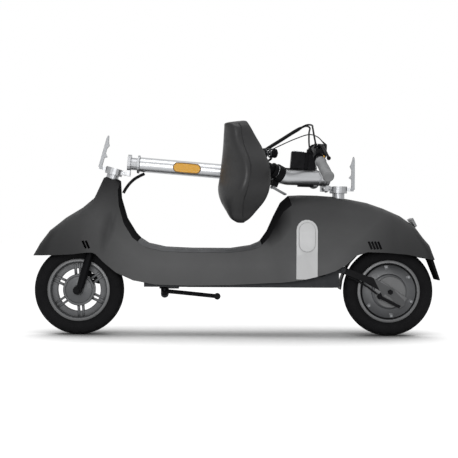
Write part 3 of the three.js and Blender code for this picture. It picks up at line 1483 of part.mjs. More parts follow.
// A coil spring standing at the origin: straight ends of one wire diameter, and curls between.
function coilSpring(height) {
  const { coilRadius, wireRadius, curls, steps, sides } = SPRING;
  const lead = 2 * wireRadius;
  const count = curls * steps;
  const path = round(count + 1, (i) => {
    const angle = (i / steps) * 2 * Math.PI;
    const z = lead + wireRadius + ((height - 2 * lead - 2 * wireRadius) * i) / count;
    return at(coilRadius * Math.cos(angle), coilRadius * Math.sin(angle), z);
  });
  const foot = at(path[0].x, path[0].y, 0);
  const head = at(path[count].x, path[count].y, height);
  const line = [foot, ...path, head];
  const position = [];
  const index = [];
  line.forEach((point, i) => {
    const before = line[Math.max(i - 1, 0)];
    const after = line[Math.min(i + 1, line.length - 1)];
    const along = after.clone().sub(before).normalize();
    const outwards = at(point.x, point.y, 0).normalize();
    const side = along.clone().cross(outwards).normalize();
    const up = side.clone().cross(along);
    for (let corner = 0; corner < sides; corner++) {
      const angle = (corner / sides) * 2 * Math.PI;
      const spot = point.clone();
      spot.addScaledVector(up, wireRadius * Math.cos(angle));
      spot.addScaledVector(side, wireRadius * Math.sin(angle));
      position.push(...spot.toArray());
    }
  });
  for (let row = 0; row + 1 < line.length; row++)
    for (let corner = 0; corner < sides; corner++) {
      const next = (corner + 1) % sides;
      const [a, b] = [row * sides + corner, row * sides + next];
      index.push(a, a + sides, b, b, a + sides, b + sides);
    }
  const last = (line.length - 1) * sides;
  for (let corner = 1; corner + 1 < sides; corner++) {
    index.push(0, corner, corner + 1);
    index.push(last, last + corner + 1, last + corner);
  }
  const geometry = new THREE.BufferGeometry();
  geometry.setAttribute("position", new THREE.Float32BufferAttribute(position, 3));
  geometry.setIndex(index);
  let least = Infinity;
  path.forEach((point, i) =>
    path.slice(i + steps / 2).forEach((other) => {
      least = Math.min(least, point.distanceTo(other) - 2 * wireRadius);
    }),
  );
  console.log("spring: least gap to itself", least.toFixed(2), "mm");
  const body = solid(geometry);
  return body.volume() < 0 ? solid(geometry.setIndex(index.reverse())) : body;
}
const spring = coilSpring(panLow - GAP - springLow);
addTo(
  saddle,
  "saddle_spring_left",
  moved(spring, at(SADDLE.barX, -SPRING.y, springLow)),
  SEAT_SPRING(),
);
addTo(
  saddle,
  "saddle_spring_right",
  moved(spring, at(SADDLE.barX, SPRING.y, springLow)),
  SEAT_SPRING(),
);

// The cushion: rings of points from tail to nose, each row being the place along it,
// then shares of half width, of depth at the rim and of the skirt's drop
const SADDLE_SHARES = [
  [-1, 0.22, 1.24, 0.55],
  [-0.88, 0.42, 1.2, 0.42],
  [-0.67, 0.5, 1.1, 0.2],
  [-0.48, 0.62, 1.02, 0.02],
  [-0.15, 0.92, 0.93, -0.05],
  [0.11, 1, 0.94, -0.08],
  [0.34, 0.94, 1, -0.05],
  [0.565, 0.7, 1.05, 0],
  [0.8, 0.38, 1.08, 0.12],
  [0.92, 0.24, 1.06, 0.3],
  [1, 0.12, 1, 0.45],
];

const RING_SHARES = { crown: 12, innerRim: 0.82, low: 0.9, ceilingSide: 0.78 };

function cushion() {
  const rings = SADDLE_SHARES.map(([along, width, rise, drop]) => {
    const x = SADDLE.centreX - SADDLE.halfLength * along;
    const reach = SADDLE.halfWidth * width;
    const top = SADDLE.skirtZ + SADDLE.depth * rise * 0.9;
    const skirt = SADDLE.skirtZ + SADDLE.depth * drop;
    const ceiling = Math.max(SADDLE.skirtZ + SADDLE.ceiling, skirt + SADDLE.rim);
    const half = [
      [0, top + RING_SHARES.crown],
      [0.5 * reach, top + 0.8 * RING_SHARES.crown],
      [0.85 * reach, top + 0.35 * RING_SHARES.crown],
      [reach, top - SADDLE.rim],
      [0.97 * reach, (top + skirt) / 2],
      [RING_SHARES.low * reach, skirt],
      [RING_SHARES.innerRim * reach, skirt],
      [RING_SHARES.ceilingSide * reach, ceiling],
    ];
    const other = half.slice(1).reverse().map(([y, z]) => [-y, z]);
    return [...half, [0, ceiling], ...other].map(([y, z]) => at(x, y, z));
  });
  return lofted(rings);
}

// A closed solid through rings of equal counts, with flat ends.
function lofted(rings) {
  const count = rings[0].length;
  const position = rings.flat().flatMap((point) => point.toArray());
  const index = [];
  for (let row = 0; row + 1 < rings.length; row++)
    for (let corner = 0; corner < count; corner++) {
      const next = (corner + 1) % count;
      const [a, b] = [row * count + corner, row * count + next];
      index.push(a, a + count, b, b, a + count, b + count);
    }
  const endFaces = (row, flipped) => {
    const flat = rings[row].map((point) => new THREE.Vector2(point.y, point.z));
    for (const [a, b, c] of THREE.ShapeUtils.triangulateShape(flat, [])) {
      const first = row * count;
      const face = [first + a, first + b, first + c];
      index.push(...(flipped ? face.reverse() : face));
    }
  };
  endFaces(0, true);
  endFaces(rings.length - 1, false);
  const geometry = new THREE.BufferGeometry();
  geometry.setAttribute("position", new THREE.Float32BufferAttribute(position, 3));
  geometry.setIndex(index);
  const body = solid(geometry);
  return body.volume() < 0 ? solid(geometry.setIndex(index.reverse())) : body;
}
addTo(saddle, "saddle_cushion", cushion(), SADDLE_SKIN());

// Rear suspension: swing arm with its hugger, and the damper above it

const ARM = {
  kneeX: 452,
  kneeZ: 190,
  tailX: 556,
  tailZ: 116,
  depth: 22,
  innerY: 50,
  outerY: 66,
  plateInnerY: 52,
  plateOuterY: 60,
  plateDepth: 27,
  endRadius: 17,
  barrelHalf: 68,
  huggerInner: 163,
  huggerOuter: 167,
  huggerHalf: 38,
  huggerFrom: THREE.MathUtils.degToRad(97),
  huggerTo: THREE.MathUtils.degToRad(178),
};
const REAR_AXLE = at(REAR_AXLE_X, 0, AXLE_Z);
const swing = frameAt(scooter, "swingarm_body", at(0, 0, 0));
const CAM = { x: 484, z: 136, radius: 8, pin: 4, armX: 552, armZ: 102, armDepth: 10, thickness: 5 };
const camLow = ARM.plateOuterY + GAP;

function hugger() {
  const ring = (radius, back) => {
    const turns = round(8, (i) => {
      const angle = THREE.MathUtils.lerp(ARM.huggerFrom, ARM.huggerTo, i / 7);
      return [REAR_AXLE.x + radius * Math.cos(angle), REAR_AXLE.z + radius * Math.sin(angle)];
    });
    return back ? turns.reverse() : turns;
  };
  const outline = [...ring(ARM.huggerOuter, false), ...ring(ARM.huggerInner, true)];
  const shelf = block(
    at(PIVOT.x + ARM_BARREL_RADIUS, 0, PIVOT.z - ARM_BARREL_RADIUS / 2),
    2 * ARM_BARREL_RADIUS - OVERRUN,
    ARM.huggerHalf,
    ARM_BARREL_RADIUS,
  );
  return plate(outline, -ARM.huggerHalf, ARM.huggerHalf).add(shelf);
}

function swingArm() {
  const barrel = acrossAt(PIVOT.x, PIVOT.z, ARM.barrelHalf, ARM_BARREL_RADIUS, 14);
  const sides = [-1, 1].flatMap((side) => {
    const span = (inner, outer) => [side * inner, side * outer].sort((a, b) => a - b);
    const knee = [ARM.kneeX, ARM.kneeZ];
    const [armLow, armHigh] = span(ARM.innerY, ARM.outerY);
    const [plateLow, plateHigh] = span(ARM.plateInnerY, ARM.plateOuterY);
    return [
      slab([PIVOT.x, PIVOT.z], knee, ARM.depth, armLow, armHigh),
      slab(knee, [REAR_AXLE.x, REAR_AXLE.z], ARM.plateDepth, plateLow, plateHigh),
      slab([REAR_AXLE.x, REAR_AXLE.z], [ARM.tailX, ARM.tailZ], ARM.plateDepth, plateLow, plateHigh),
      rod(at(ARM.kneeX, armLow, ARM.kneeZ), at(ARM.kneeX, armHigh, ARM.kneeZ), ARM.plateDepth / 2),
      rod(at(ARM.tailX, plateLow, ARM.tailZ), at(ARM.tailX, plateHigh, ARM.tailZ), ARM.plateDepth / 2),
      rod(at(REAR_AXLE.x, plateLow, AXLE_Z), at(REAR_AXLE.x, plateHigh, AXLE_Z), ARM.endRadius),
    ];
  });
  const eyeCheeks = [-1, 1].map((side) => {
    const span = [SHOCK.eyeHalf + GAP, SHOCK.eyeHalf + CAM.thickness].map((y) => side * y);
    const [low, high] = span.sort((a, b) => a - b);
    return slab([PIVOT.x, PIVOT.z], [SHOCK.eyeX, SHOCK.z + SHOCK.eyeRadius], 2 * SHOCK.eyeRadius, low, high);
  });
  const eyePin = acrossAt(SHOCK.eyeX, SHOCK.z, SHOCK.eyeHalf + CAM.thickness, SHOCK.eyePin);
  const camTab = slab(
    [REAR_AXLE.x - ARM.endRadius, AXLE_Z + OVERRUN],
    [CAM.x, CAM.z],
    2 * CAM.radius,
    -ARM.plateOuterY,
    -ARM.plateInnerY,
  );
  const camPin = rod(
    at(CAM.x, -ARM.plateOuterY - CAM.thickness - OVERRUN, CAM.z),
    at(CAM.x, -ARM.plateInnerY, CAM.z),
    CAM.pin,
  );
  const camEye = rod(at(CAM.x, -ARM.plateOuterY, CAM.z), at(CAM.x, -ARM.plateInnerY, CAM.z), CAM.radius);
  const bore = acrossAt(PIVOT.x, PIVOT.z, 2 * ARM.barrelHalf, PIVOT_BOLT_RADIUS + GAP);
  const axleHole = acrossAt(REAR_AXLE.x, AXLE_Z, 2 * ARM.outerY, FORK.axleRadius + GAP);
  return union(barrel, ...sides, ...eyeCheeks, eyePin, camTab, camEye, hugger())
    .subtract(union(bore, axleHole))
    .add(camPin);
}
addTo(swing, "swingarm", swingArm(), BLACK_METAL());
const rearAxle = hexAxle(ARM.plateOuterY + GAP, FORK.axleRadius, AXLE_NUT.radius, AXLE_NUT.length);
addTo(swing, "rear_axle", moved(rearAxle, REAR_AXLE), BRIGHT_STEEL());

const shockBody = cut(
  rod(at(SHOCK.bodyFront, 0, SHOCK.z), at(SHOCK.bodyRear, 0, SHOCK.z), SHOCK.radius, 20),
  rod(at(SHOCK.boreFront, 0, SHOCK.z), at(SHOCK.bodyRear + OVERRUN, 0, SHOCK.z), SHOCK.boreRadius, 16),
);
addTo(chassis, "shock_body", shockBody, BLACK_METAL());
const shockRodGroup = frameAt(scooter, "shock_slide", at(0, 0, 0));
const shockRod = cut(
  rod(at(SHOCK.rodFront, 0, SHOCK.z), at(SHOCK.eyeX, 0, SHOCK.z), SHOCK.rodRadius).add(
    acrossAt(SHOCK.eyeX, SHOCK.z, SHOCK.eyeHalf, SHOCK.eyeRadius, 16),
  ),
  acrossAt(SHOCK.eyeX, SHOCK.z, 2 * SHOCK.eyeHalf, SHOCK.eyeHole),
);
addTo(shockRodGroup, "shock_rod", shockRod, BRIGHT_STEEL());

// Rear wheel with the hub motor, its brake arm and the brake's cable

const MOTOR = {
  radius: 94,
  halfWidth: 30,
  faceRadius: 57,
  faceHalf: 38,
  webHalf: 10,
  ringHalf: 26,
  boreSlack: 2,
};
const rearWheel = frameAt(swing, "rear_wheel", REAR_AXLE);
addTo(rearWheel, "rear_tyre", tyre(), TYRE_RUBBER());
const motorSide = [
  [FORK.axleRadius + MOTOR.boreSlack * GAP, MOTOR.faceHalf],
  [MOTOR.faceRadius, MOTOR.faceHalf],
  [MOTOR.radius - OVERRUN, MOTOR.halfWidth],
  [MOTOR.radius, MOTOR.webHalf],
  [RIM.barrelInner + OVERRUN / 2, MOTOR.webHalf],
  [RIM.barrelInner + OVERRUN / 2, MOTOR.ringHalf],
  [RIM_RADIUS, MOTOR.ringHalf],
];
const motorProfile = [
  ...motorSide,
  ...motorSide.slice().reverse().map(([radius, y]) => [radius, -y]),
  motorSide[0],
];
const motor = turned(motorProfile.reverse(), WHEEL_SEGMENTS);
addTo(rearWheel, "rear_rim_motor", motor, WHEEL_GREY());

const brakeArmGroup = frameAt(swing, "rear_brake_arm_body", at(0, 0, 0));
const armFace = -camLow - CAM.thickness;
const brakeArm = union(
  slab([CAM.x, CAM.z], [CAM.armX, CAM.armZ], CAM.armDepth, armFace, -camLow),
  rod(at(CAM.x, armFace, CAM.z), at(CAM.x, -camLow, CAM.z), CAM.radius),
).subtract(rod(at(CAM.x, 2 * armFace, CAM.z), at(CAM.x, 0, CAM.z), CAM.pin + GAP));
addTo(brakeArmGroup, "rear_brake_arm", brakeArm, BLACK_METAL());

const REAR_CABLE_ROUTE = [
  [377, -62, 202.3],
  [400, -63, 194.3],
  [425, -65, 180.3],
  [448, -67, 166],
  [468, -69, 150],
  [474, -70, 146],
];
const rearCablePoints = REAR_CABLE_ROUTE.map(([x, y, z]) => at(x, y, z));
addTo(swing, "rear_brake_cable", bentRod(rearCablePoints, CABLE_RADIUS, 8, 10), BLACK_PLASTIC());

// Kickstand: a bracket under the tray and a leg folded back along it

const STAND = {
  pivotX: -241,
  pivotY: -60,
  pivotZ: 152,
  footX: -63,
  footY: -74,
  footZ: 136,
  legRadius: 7,
  footRadius: 13,
  padRadius: 11,
  bendX: -199,
  bendZ: 148.5,
  bracketFront: -258,
  bracketRear: -193,
  bracketSheet: 6,
  bracketWide: 34,
  bracketY: -51,
  webY: -42,
  webWide: 16,
  webLow: 140,
  cheekGap: 9,
  cheekWide: 12,
  pinRadius: 4,
};
const STAND_AXIS = at(0, 0.779, -0.628).normalize();
const standPivot = at(STAND.pivotX, STAND.pivotY, STAND.pivotZ);
const onStandPin = (distance) => standPivot.clone().addScaledVector(STAND_AXIS, distance);

function standBracket() {
  const top = TRAY.low - GAP;
  const foot = block(
    at((STAND.bracketFront + STAND.bracketRear) / 2, STAND.bracketY, top - STAND.bracketSheet / 2),
    STAND.bracketRear - STAND.bracketFront,
    STAND.bracketWide,
    STAND.bracketSheet,
  );
  const web = block(
    at(STAND.pivotX, STAND.webY, (top + STAND.webLow) / 2),
    2 * STAND.footRadius,
    STAND.webWide,
    top - STAND.webLow,
  );
  const cheekEnd = STAND.cheekGap + STAND.cheekWide;
  const cheek = rod(onStandPin(STAND.cheekGap), onStandPin(cheekEnd), STAND.footRadius);
  const pin = rod(onStandPin(-STAND.cheekGap), onStandPin(cheekEnd - OVERRUN), STAND.pinRadius);
  const room = rod(onStandPin(-2 * STAND.cheekGap), onStandPin(STAND.cheekGap - GAP), STAND.footRadius);
  return union(cut(union(foot, web, cheek), room), pin);
}
addTo(chassis, "kickstand_bracket", standBracket(), FRAME_STEEL());

const standGroup = frameAt(scooter, "kickstand", at(0, 0, 0));
function standLeg() {
  const eye = rod(onStandPin(-STAND.cheekGap + GAP), onStandPin(STAND.cheekGap - GAP), STAND.footRadius - 2);
  const hole = rod(onStandPin(-2 * STAND.cheekGap), onStandPin(2 * STAND.cheekGap), STAND.pinRadius + GAP);
  const foot = at(STAND.footX, STAND.footY, STAND.footZ);
  const leg = bentRod(
    [standPivot, at(STAND.bendX, STAND.pivotY, STAND.bendZ), foot],
    STAND.legRadius,
    8,
    5,
  );
  const pad = acrossAt(0, 0, STAND.legRadius + 2, STAND.padRadius);
  return union(eye, leg, moved(pad, foot)).subtract(hole);
}
addTo(standGroup, "kickstand_leg", standLeg(), BLACK_METAL());
joint(standGroup, standPivot, STAND_AXIS);

export default scooter;
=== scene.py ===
# %% [markdown]
# # A folded seated electric scooter
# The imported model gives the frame. This script dresses it: smooth tyres and rims, tubes, cables,
# a padded saddle, procedural materials, plain studio light and a camera at the photograph's angle.
# Every length is in metres. X runs from the front wheel to the rear wheel, Z is up.

# %% Load the frame
import json
import math

import bmesh
import bpy
from mathutils import Matrix, Vector
from mathutils.kdtree import KDTree


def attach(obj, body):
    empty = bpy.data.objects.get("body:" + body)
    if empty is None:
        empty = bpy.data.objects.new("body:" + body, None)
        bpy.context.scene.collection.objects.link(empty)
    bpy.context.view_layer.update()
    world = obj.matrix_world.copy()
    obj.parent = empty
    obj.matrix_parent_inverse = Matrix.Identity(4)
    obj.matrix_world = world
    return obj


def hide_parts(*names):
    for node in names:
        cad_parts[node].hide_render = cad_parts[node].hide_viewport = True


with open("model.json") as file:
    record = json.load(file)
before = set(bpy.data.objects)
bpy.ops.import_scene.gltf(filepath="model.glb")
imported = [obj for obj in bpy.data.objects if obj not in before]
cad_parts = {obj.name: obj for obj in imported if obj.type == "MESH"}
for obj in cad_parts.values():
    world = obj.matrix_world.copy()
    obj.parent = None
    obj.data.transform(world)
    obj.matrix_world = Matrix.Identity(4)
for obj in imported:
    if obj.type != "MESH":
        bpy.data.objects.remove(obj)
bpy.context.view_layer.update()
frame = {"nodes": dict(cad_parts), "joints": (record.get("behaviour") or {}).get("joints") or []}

# %% [markdown]
# ## The camera
# The lens is long, so near and far parts are drawn at almost the same scale. The camera stands level,
# a little above the floor, and leans by a third of a degree, as the picture does.

# %% Camera
CAMERA_PLACE = (-0.0248, -3.7, 0.3621)
CAMERA_LEAN = -0.0052
SENSOR_MM, LENS_MM = 36, 84.87
camera_data = bpy.data.cameras.new("camera")
camera_data.sensor_width = SENSOR_MM
camera_data.lens = LENS_MM
camera = bpy.data.objects.new("camera", camera_data)
camera.location = CAMERA_PLACE
camera.rotation_euler = (math.pi / 2, CAMERA_LEAN, 0)
bpy.context.scene.collection.objects.link(camera)
bpy.context.scene.camera = camera
bpy.context.scene.view_settings.view_transform = "Standard"
print("camera at", tuple(camera.location))

# %% [markdown]
# ## Pieces and their shading
# Each piece is a bmesh that rides on the body that carries it. The big covers are faceted solids. More
# triangles could smooth them, but averaged normals hide the facets and move nothing.

# %% Pieces and shading
Y_AXIS, Z_AXIS = Vector((0, 1, 0)), Vector((0, 0, 1))


def piece(name, bm, surface, body, angle=35, node=None):
    """Turns a bmesh into an object that rides on a body, and that may stand for a solid."""
    bmesh.ops.recalc_face_normals(bm, faces=bm.faces)
    mesh = bpy.data.meshes.new(name)
    bm.to_mesh(mesh)
    bm.free()
    made = bpy.data.objects.new(name, mesh)
    bpy.context.scene.collection.objects.link(made)
    mesh.materials.append(surface.material)
    smooth(mesh, angle)
    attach(made, body)
    if node:
        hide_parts(node)
    return made


def smooth(mesh, angle=35):
    """Shades a mesh smooth, but for edges sharper than an angle."""
    mesh.polygons.foreach_set("use_smooth", [True] * len(mesh.polygons))
    mesh.set_sharp_from_angle(angle=math.radians(angle))


def even_shading(mesh, reach=0.034, limit=48, step=0.008):
    """Shades flat facets as one soft surface: each corner takes the mean normal of the faces about it."""
    mesh.calc_loop_triangles()
    samples = []
    for triangle in mesh.loop_triangles:
        a, b, c = (mesh.vertices[i].co for i in triangle.vertices)
        longest = max((b - a).length, (c - b).length, (a - c).length)
        count = max(1, min(12, round(longest / step)))
        share = triangle.area / count**2
        for i in range(count):
            for j in range(count - i):
                u, v = (i + 1 / 3) / count, (j + 1 / 3) / count
                samples.append((a + (b - a) * u + (c - a) * v, triangle.normal.copy(), share))
    tree = KDTree(len(samples))
    for i, (place, _, _) in enumerate(samples):
        tree.insert(place, i)
    tree.balance()
    least = math.cos(math.radians(limit))
    normals = []
    for polygon in mesh.polygons:
        for index in polygon.vertices:
            corner = mesh.vertices[index].co
            total = polygon.normal * 1e-9
            for _, i, distance in tree.find_range(corner, reach):
                normal = samples[i][1]
                if normal.dot(polygon.normal) > least:
                    total += normal * samples[i][2] * (1 - distance / reach)
            normals.append(total.normalized())
    mesh.normals_split_custom_set([tuple(n) for n in normals])


print("pieces can be made")

# %% [markdown]
# ## Round shapes
# Tyres, rims and collars are turned or moulded, so a section is spun round an axis. Tubes and cables
# are rings bridged along a path, which also takes bends.

# %% Round shapes
WELD = 1e-5


def turn_to(axis, place):
    """A matrix that takes +Z to an axis and the origin to a place."""
    return Matrix.Translation(place) @ axis.to_track_quat("Z", "Y").to_matrix().to_4x4()


def spin_profile(bm, profile, place, axis, steps=96, closed=True):
    """Spins a profile of (radius, distance along the axis) round the axis."""
    matrix = turn_to(Vector(axis), Vector(place))
    corners = [bm.verts.new(matrix @ Vector((radius, 0, along))) for radius, along in profile]
    ends = corners[1:] + corners[:1] if closed else corners[1:]
    bmesh.ops.spin(
        bm,
        geom=corners + [bm.edges.new(pair) for pair in zip(corners, ends)],
        cent=Vector(place),
        axis=Vector(axis),
        angle=2 * math.pi,
        steps=steps,
        use_merge=True,
    )
    bmesh.ops.remove_doubles(bm, verts=list(bm.verts), dist=WELD)


def turned(bm, profile, place, axis, steps=64):
    """A full turned part, whose open profile has both ends on the axis."""
    spin_profile(bm, profile, place, axis, steps, closed=False)


def disc(bm, place, axis, radius, length, bevel=0.0006, sides=40):
    """A short round bar from a place along an axis, with rounded ends."""
    inside, far = radius - bevel, length - bevel
    profile = [(0, 0), (inside, 0), (radius, bevel), (radius, far), (inside, length), (0, length)]
    turned(bm, profile, place, axis, sides)


def ring(bm, place, along, radius, sides, up):
    """One circle of vertices square to a direction, turned so that rings line up."""
    side = along.cross(up).normalized()
    over = side.cross(along).normalized()
    matrix = Matrix.Translation(place) @ Matrix((side, over, along)).transposed().to_4x4()
    made = bmesh.ops.create_circle(bm, cap_ends=False, segments=sides, radius=radius, matrix=matrix)
    return made["verts"], over


def bridge(bm, rings, caps=True):
    """Joins rings of vertices into a skin, with its two ends closed or open."""
    for low, high in zip(rings, rings[1:]):
        for i in range(len(low)):
            j = (i + 1) % len(low)
            bm.faces.new((low[i], low[j], high[j], high[i]))
    if caps:
        bm.faces.new(rings[0][::-1])
        bm.faces.new(rings[-1])


def tube(bm, points, radii, sides=24, caps=True):
    """A round tube through points. The radii are one number, or one for each point."""
    points = [Vector(p) for p in points]
    if not isinstance(radii, (list, tuple)):
        radii = [radii] * len(points)
    up = Y_AXIS if abs((points[-1] - points[0]).normalized().dot(Z_AXIS)) > 0.9 else Z_AXIS
    rings = []
    for i, point in enumerate(points):
        along = (points[min(i + 1, len(points) - 1)] - points[max(i - 1, 0)]).normalized()
        verts, up = ring(bm, point, along, radii[i], sides, up)
        rings.append(verts)
    bridge(bm, rings, caps)


print("round shapes ready")

# %% [markdown]
# ## Boxes, bolts and curves
# Real edges are never quite sharp, so boxes and bolt heads get a small bevel that catches the light. A
# spline through a few points bends as a stiff cable does.

# %% Boxes, bolts and curves


def bevel_edges(bm, verts, offset, segments=2):
    """Rounds every edge that meets the given vertices."""
    edges = list(dict.fromkeys(edge for vert in verts for edge in vert.link_edges))
    bmesh.ops.bevel(
        bm, geom=edges, offset=offset, segments=segments, profile=0.5, affect="EDGES", material=-1
    )


def box(bm, centre, size, matrix=Matrix(), bevel=0.001, segments=2):
    """A box with rounded edges."""
    scale = Matrix.Diagonal((*size, 1))
    made = bmesh.ops.create_cube(bm, size=1, matrix=matrix @ Matrix.Translation(centre) @ scale)
    bevel_edges(bm, made["verts"], bevel, segments)


def bolt(bm, place, axis, radius, height):
    """A washer, a quarter of the height, and a hexagon head."""
    washer = height / 4
    disc(bm, place, axis, radius * 1.35, washer, bevel=0.0003)
    made = bmesh.ops.create_cone(
        bm,
        cap_ends=True,
        segments=6,
        radius1=radius,
        radius2=radius,
        depth=height - washer,
        matrix=turn_to(Vector(axis), Vector(place) + Vector(axis) * (height + washer) / 2),
    )
    bevel_edges(bm, made["verts"], radius * 0.08)


def between(x, a, b, low, high):
    """A straight mix of two places that is the first at low and the second at high."""
    return a * ((high - x) / (high - low)) + b * ((x - low) / (high - low))


def curve_points(points, count):
    """A smooth centripetal curve through points, as count places at even steps of its parameter."""
    pts = [Vector(p) for p in points]
    pts = [2 * pts[0] - pts[1]] + pts + [2 * pts[-1] - pts[-2]]
    out = []
    spans = len(pts) - 3
    for i in range(count):
        t = i / (count - 1) * spans
        k = min(int(t), spans - 1)
        u = t - k
        p = pts[k : k + 4]
        knots = [0.0]
        for a, b in zip(p, p[1:]):
            knots.append(knots[-1] + max((b - a).length, 1e-6) ** 0.5)
        x = knots[1] + u * (knots[2] - knots[1])
        p = [between(x, p[j], p[j + 1], knots[j], knots[j + 1]) for j in range(3)]
        p = [between(x, p[j], p[j + 1], knots[j], knots[j + 2]) for j in range(2)]
        out.append(between(x, p[0], p[1], knots[1], knots[2]))
    return out


def length_of(points):
    return sum((b - a).length for a, b in zip(points, points[1:]))


print("helpers ready")

# %% [markdown]
# ## Axles, pins and directions
# The frame knows each joint's place and axis, so wheels, stem and seat are drawn from those. The stem
# and the seat lie at a slant, so two functions turn their own millimetres into places in the scene.

# %% Axles, pins and directions
JOINTS = {joint["name"]: joint for joint in frame["joints"]}
FRONT_AXLE = Vector(JOINTS["front_wheel_spin"]["pos_m"])
REAR_AXLE = Vector(JOINTS["rear_wheel_spin"]["pos_m"])

# The stem's directions, rounded: up the tube, and out of its front, which faces up when folded
DIGITS = 5
STEM_PIN = Vector([round(v, DIGITS) for v in JOINTS["stem_fold"]["pos_m"]])
STEM_ALONG = Vector([round(v, DIGITS) for v in JOINTS["rear_brake_pull"]["axis"]])
STEM_FRONT = Vector((-STEM_ALONG.z, 0, STEM_ALONG.x))
PIN_OFFSET, PIN_DROP = 0.036, 0.009

# The seat's directions: its side, and its up, which points forward when folded
SEAT_PIN = Vector(JOINTS["seat_fold"]["pos_m"])
SEAT_SIDE = Vector(JOINTS["seat_lever"]["axis"])
SEAT_UP = Z_AXIS.cross(SEAT_SIDE)


def stem_point(along, front, y=0.0):
    """A place on the stem in millimetres: along it, in front of its axis, and sideways."""
    place = STEM_PIN + STEM_ALONG * (PIN_DROP + along / 1000) + STEM_FRONT * (PIN_OFFSET + front / 1000)
    return place + Y_AXIS * (y / 1000)


def seat_point(x, y, z):
    """A place in the seat's own frame, in millimetres: forward, sideways and up the tube."""
    return SEAT_PIN + Z_AXIS * (x / 1000) + SEAT_SIDE * (y / 1000) + SEAT_UP * (z / 1000)


print("front axle", tuple(FRONT_AXLE), "rear axle", tuple(REAR_AXLE))

# %% [markdown]
# ## A material builder
# Every finish is a Principled shader with a procedural grain in its colour, roughness and height, as no
# real finish is even. Image textures could do it, but need files and unwrapping.

# %% Node builders
GRAIN_LOW, GRAIN_HIGH = 0.3, 0.7
MIX_SHARE, MIX_FIRST, MIX_SECOND, MIX_RESULT = 0, 6, 7, 2


class Nodes:
    """A node tree being built, with the steps that materials and the world share."""

    def __init__(self, tree):
        self.tree = tree

    def node(self, kind, **settings):
        made = self.tree.nodes.new(kind)
        for key, value in settings.items():
            setattr(made, key, value)
        return made

    def feed(self, socket, value):
        """Gives a socket a fixed value, or links it to another node's output."""
        if isinstance(value, (int, float, tuple)):
            socket.default_value = value
        else:
            self.tree.links.new(value, socket)

    def math(self, kind, *values):
        made = self.node("ShaderNodeMath", operation=kind)
        for socket, value in zip(made.inputs, values):
            self.feed(socket, value)
        return made.outputs[0]

    def spread(self, value, low, high, from_low=GRAIN_LOW, from_high=GRAIN_HIGH):
        """A value moved from one range to another, and kept inside it."""
        made = self.node("ShaderNodeMapRange")
        ends = {"Value": value, "From Min": from_low, "From Max": from_high, "To Min": low, "To Max": high}
        for name, end in ends.items():
            self.feed(made.inputs[name], end)
        return made.outputs["Result"]

    def seen_directly(self):
        """1 for what the camera, a reflection or a clear lens sees, and 0 for light on things."""
        path = self.node("ShaderNodeLightPath").outputs
        mirrored = self.math("MAXIMUM", path["Is Glossy Ray"], path["Is Transmission Ray"])
        return self.math("MAXIMUM", path["Is Camera Ray"], mirrored)


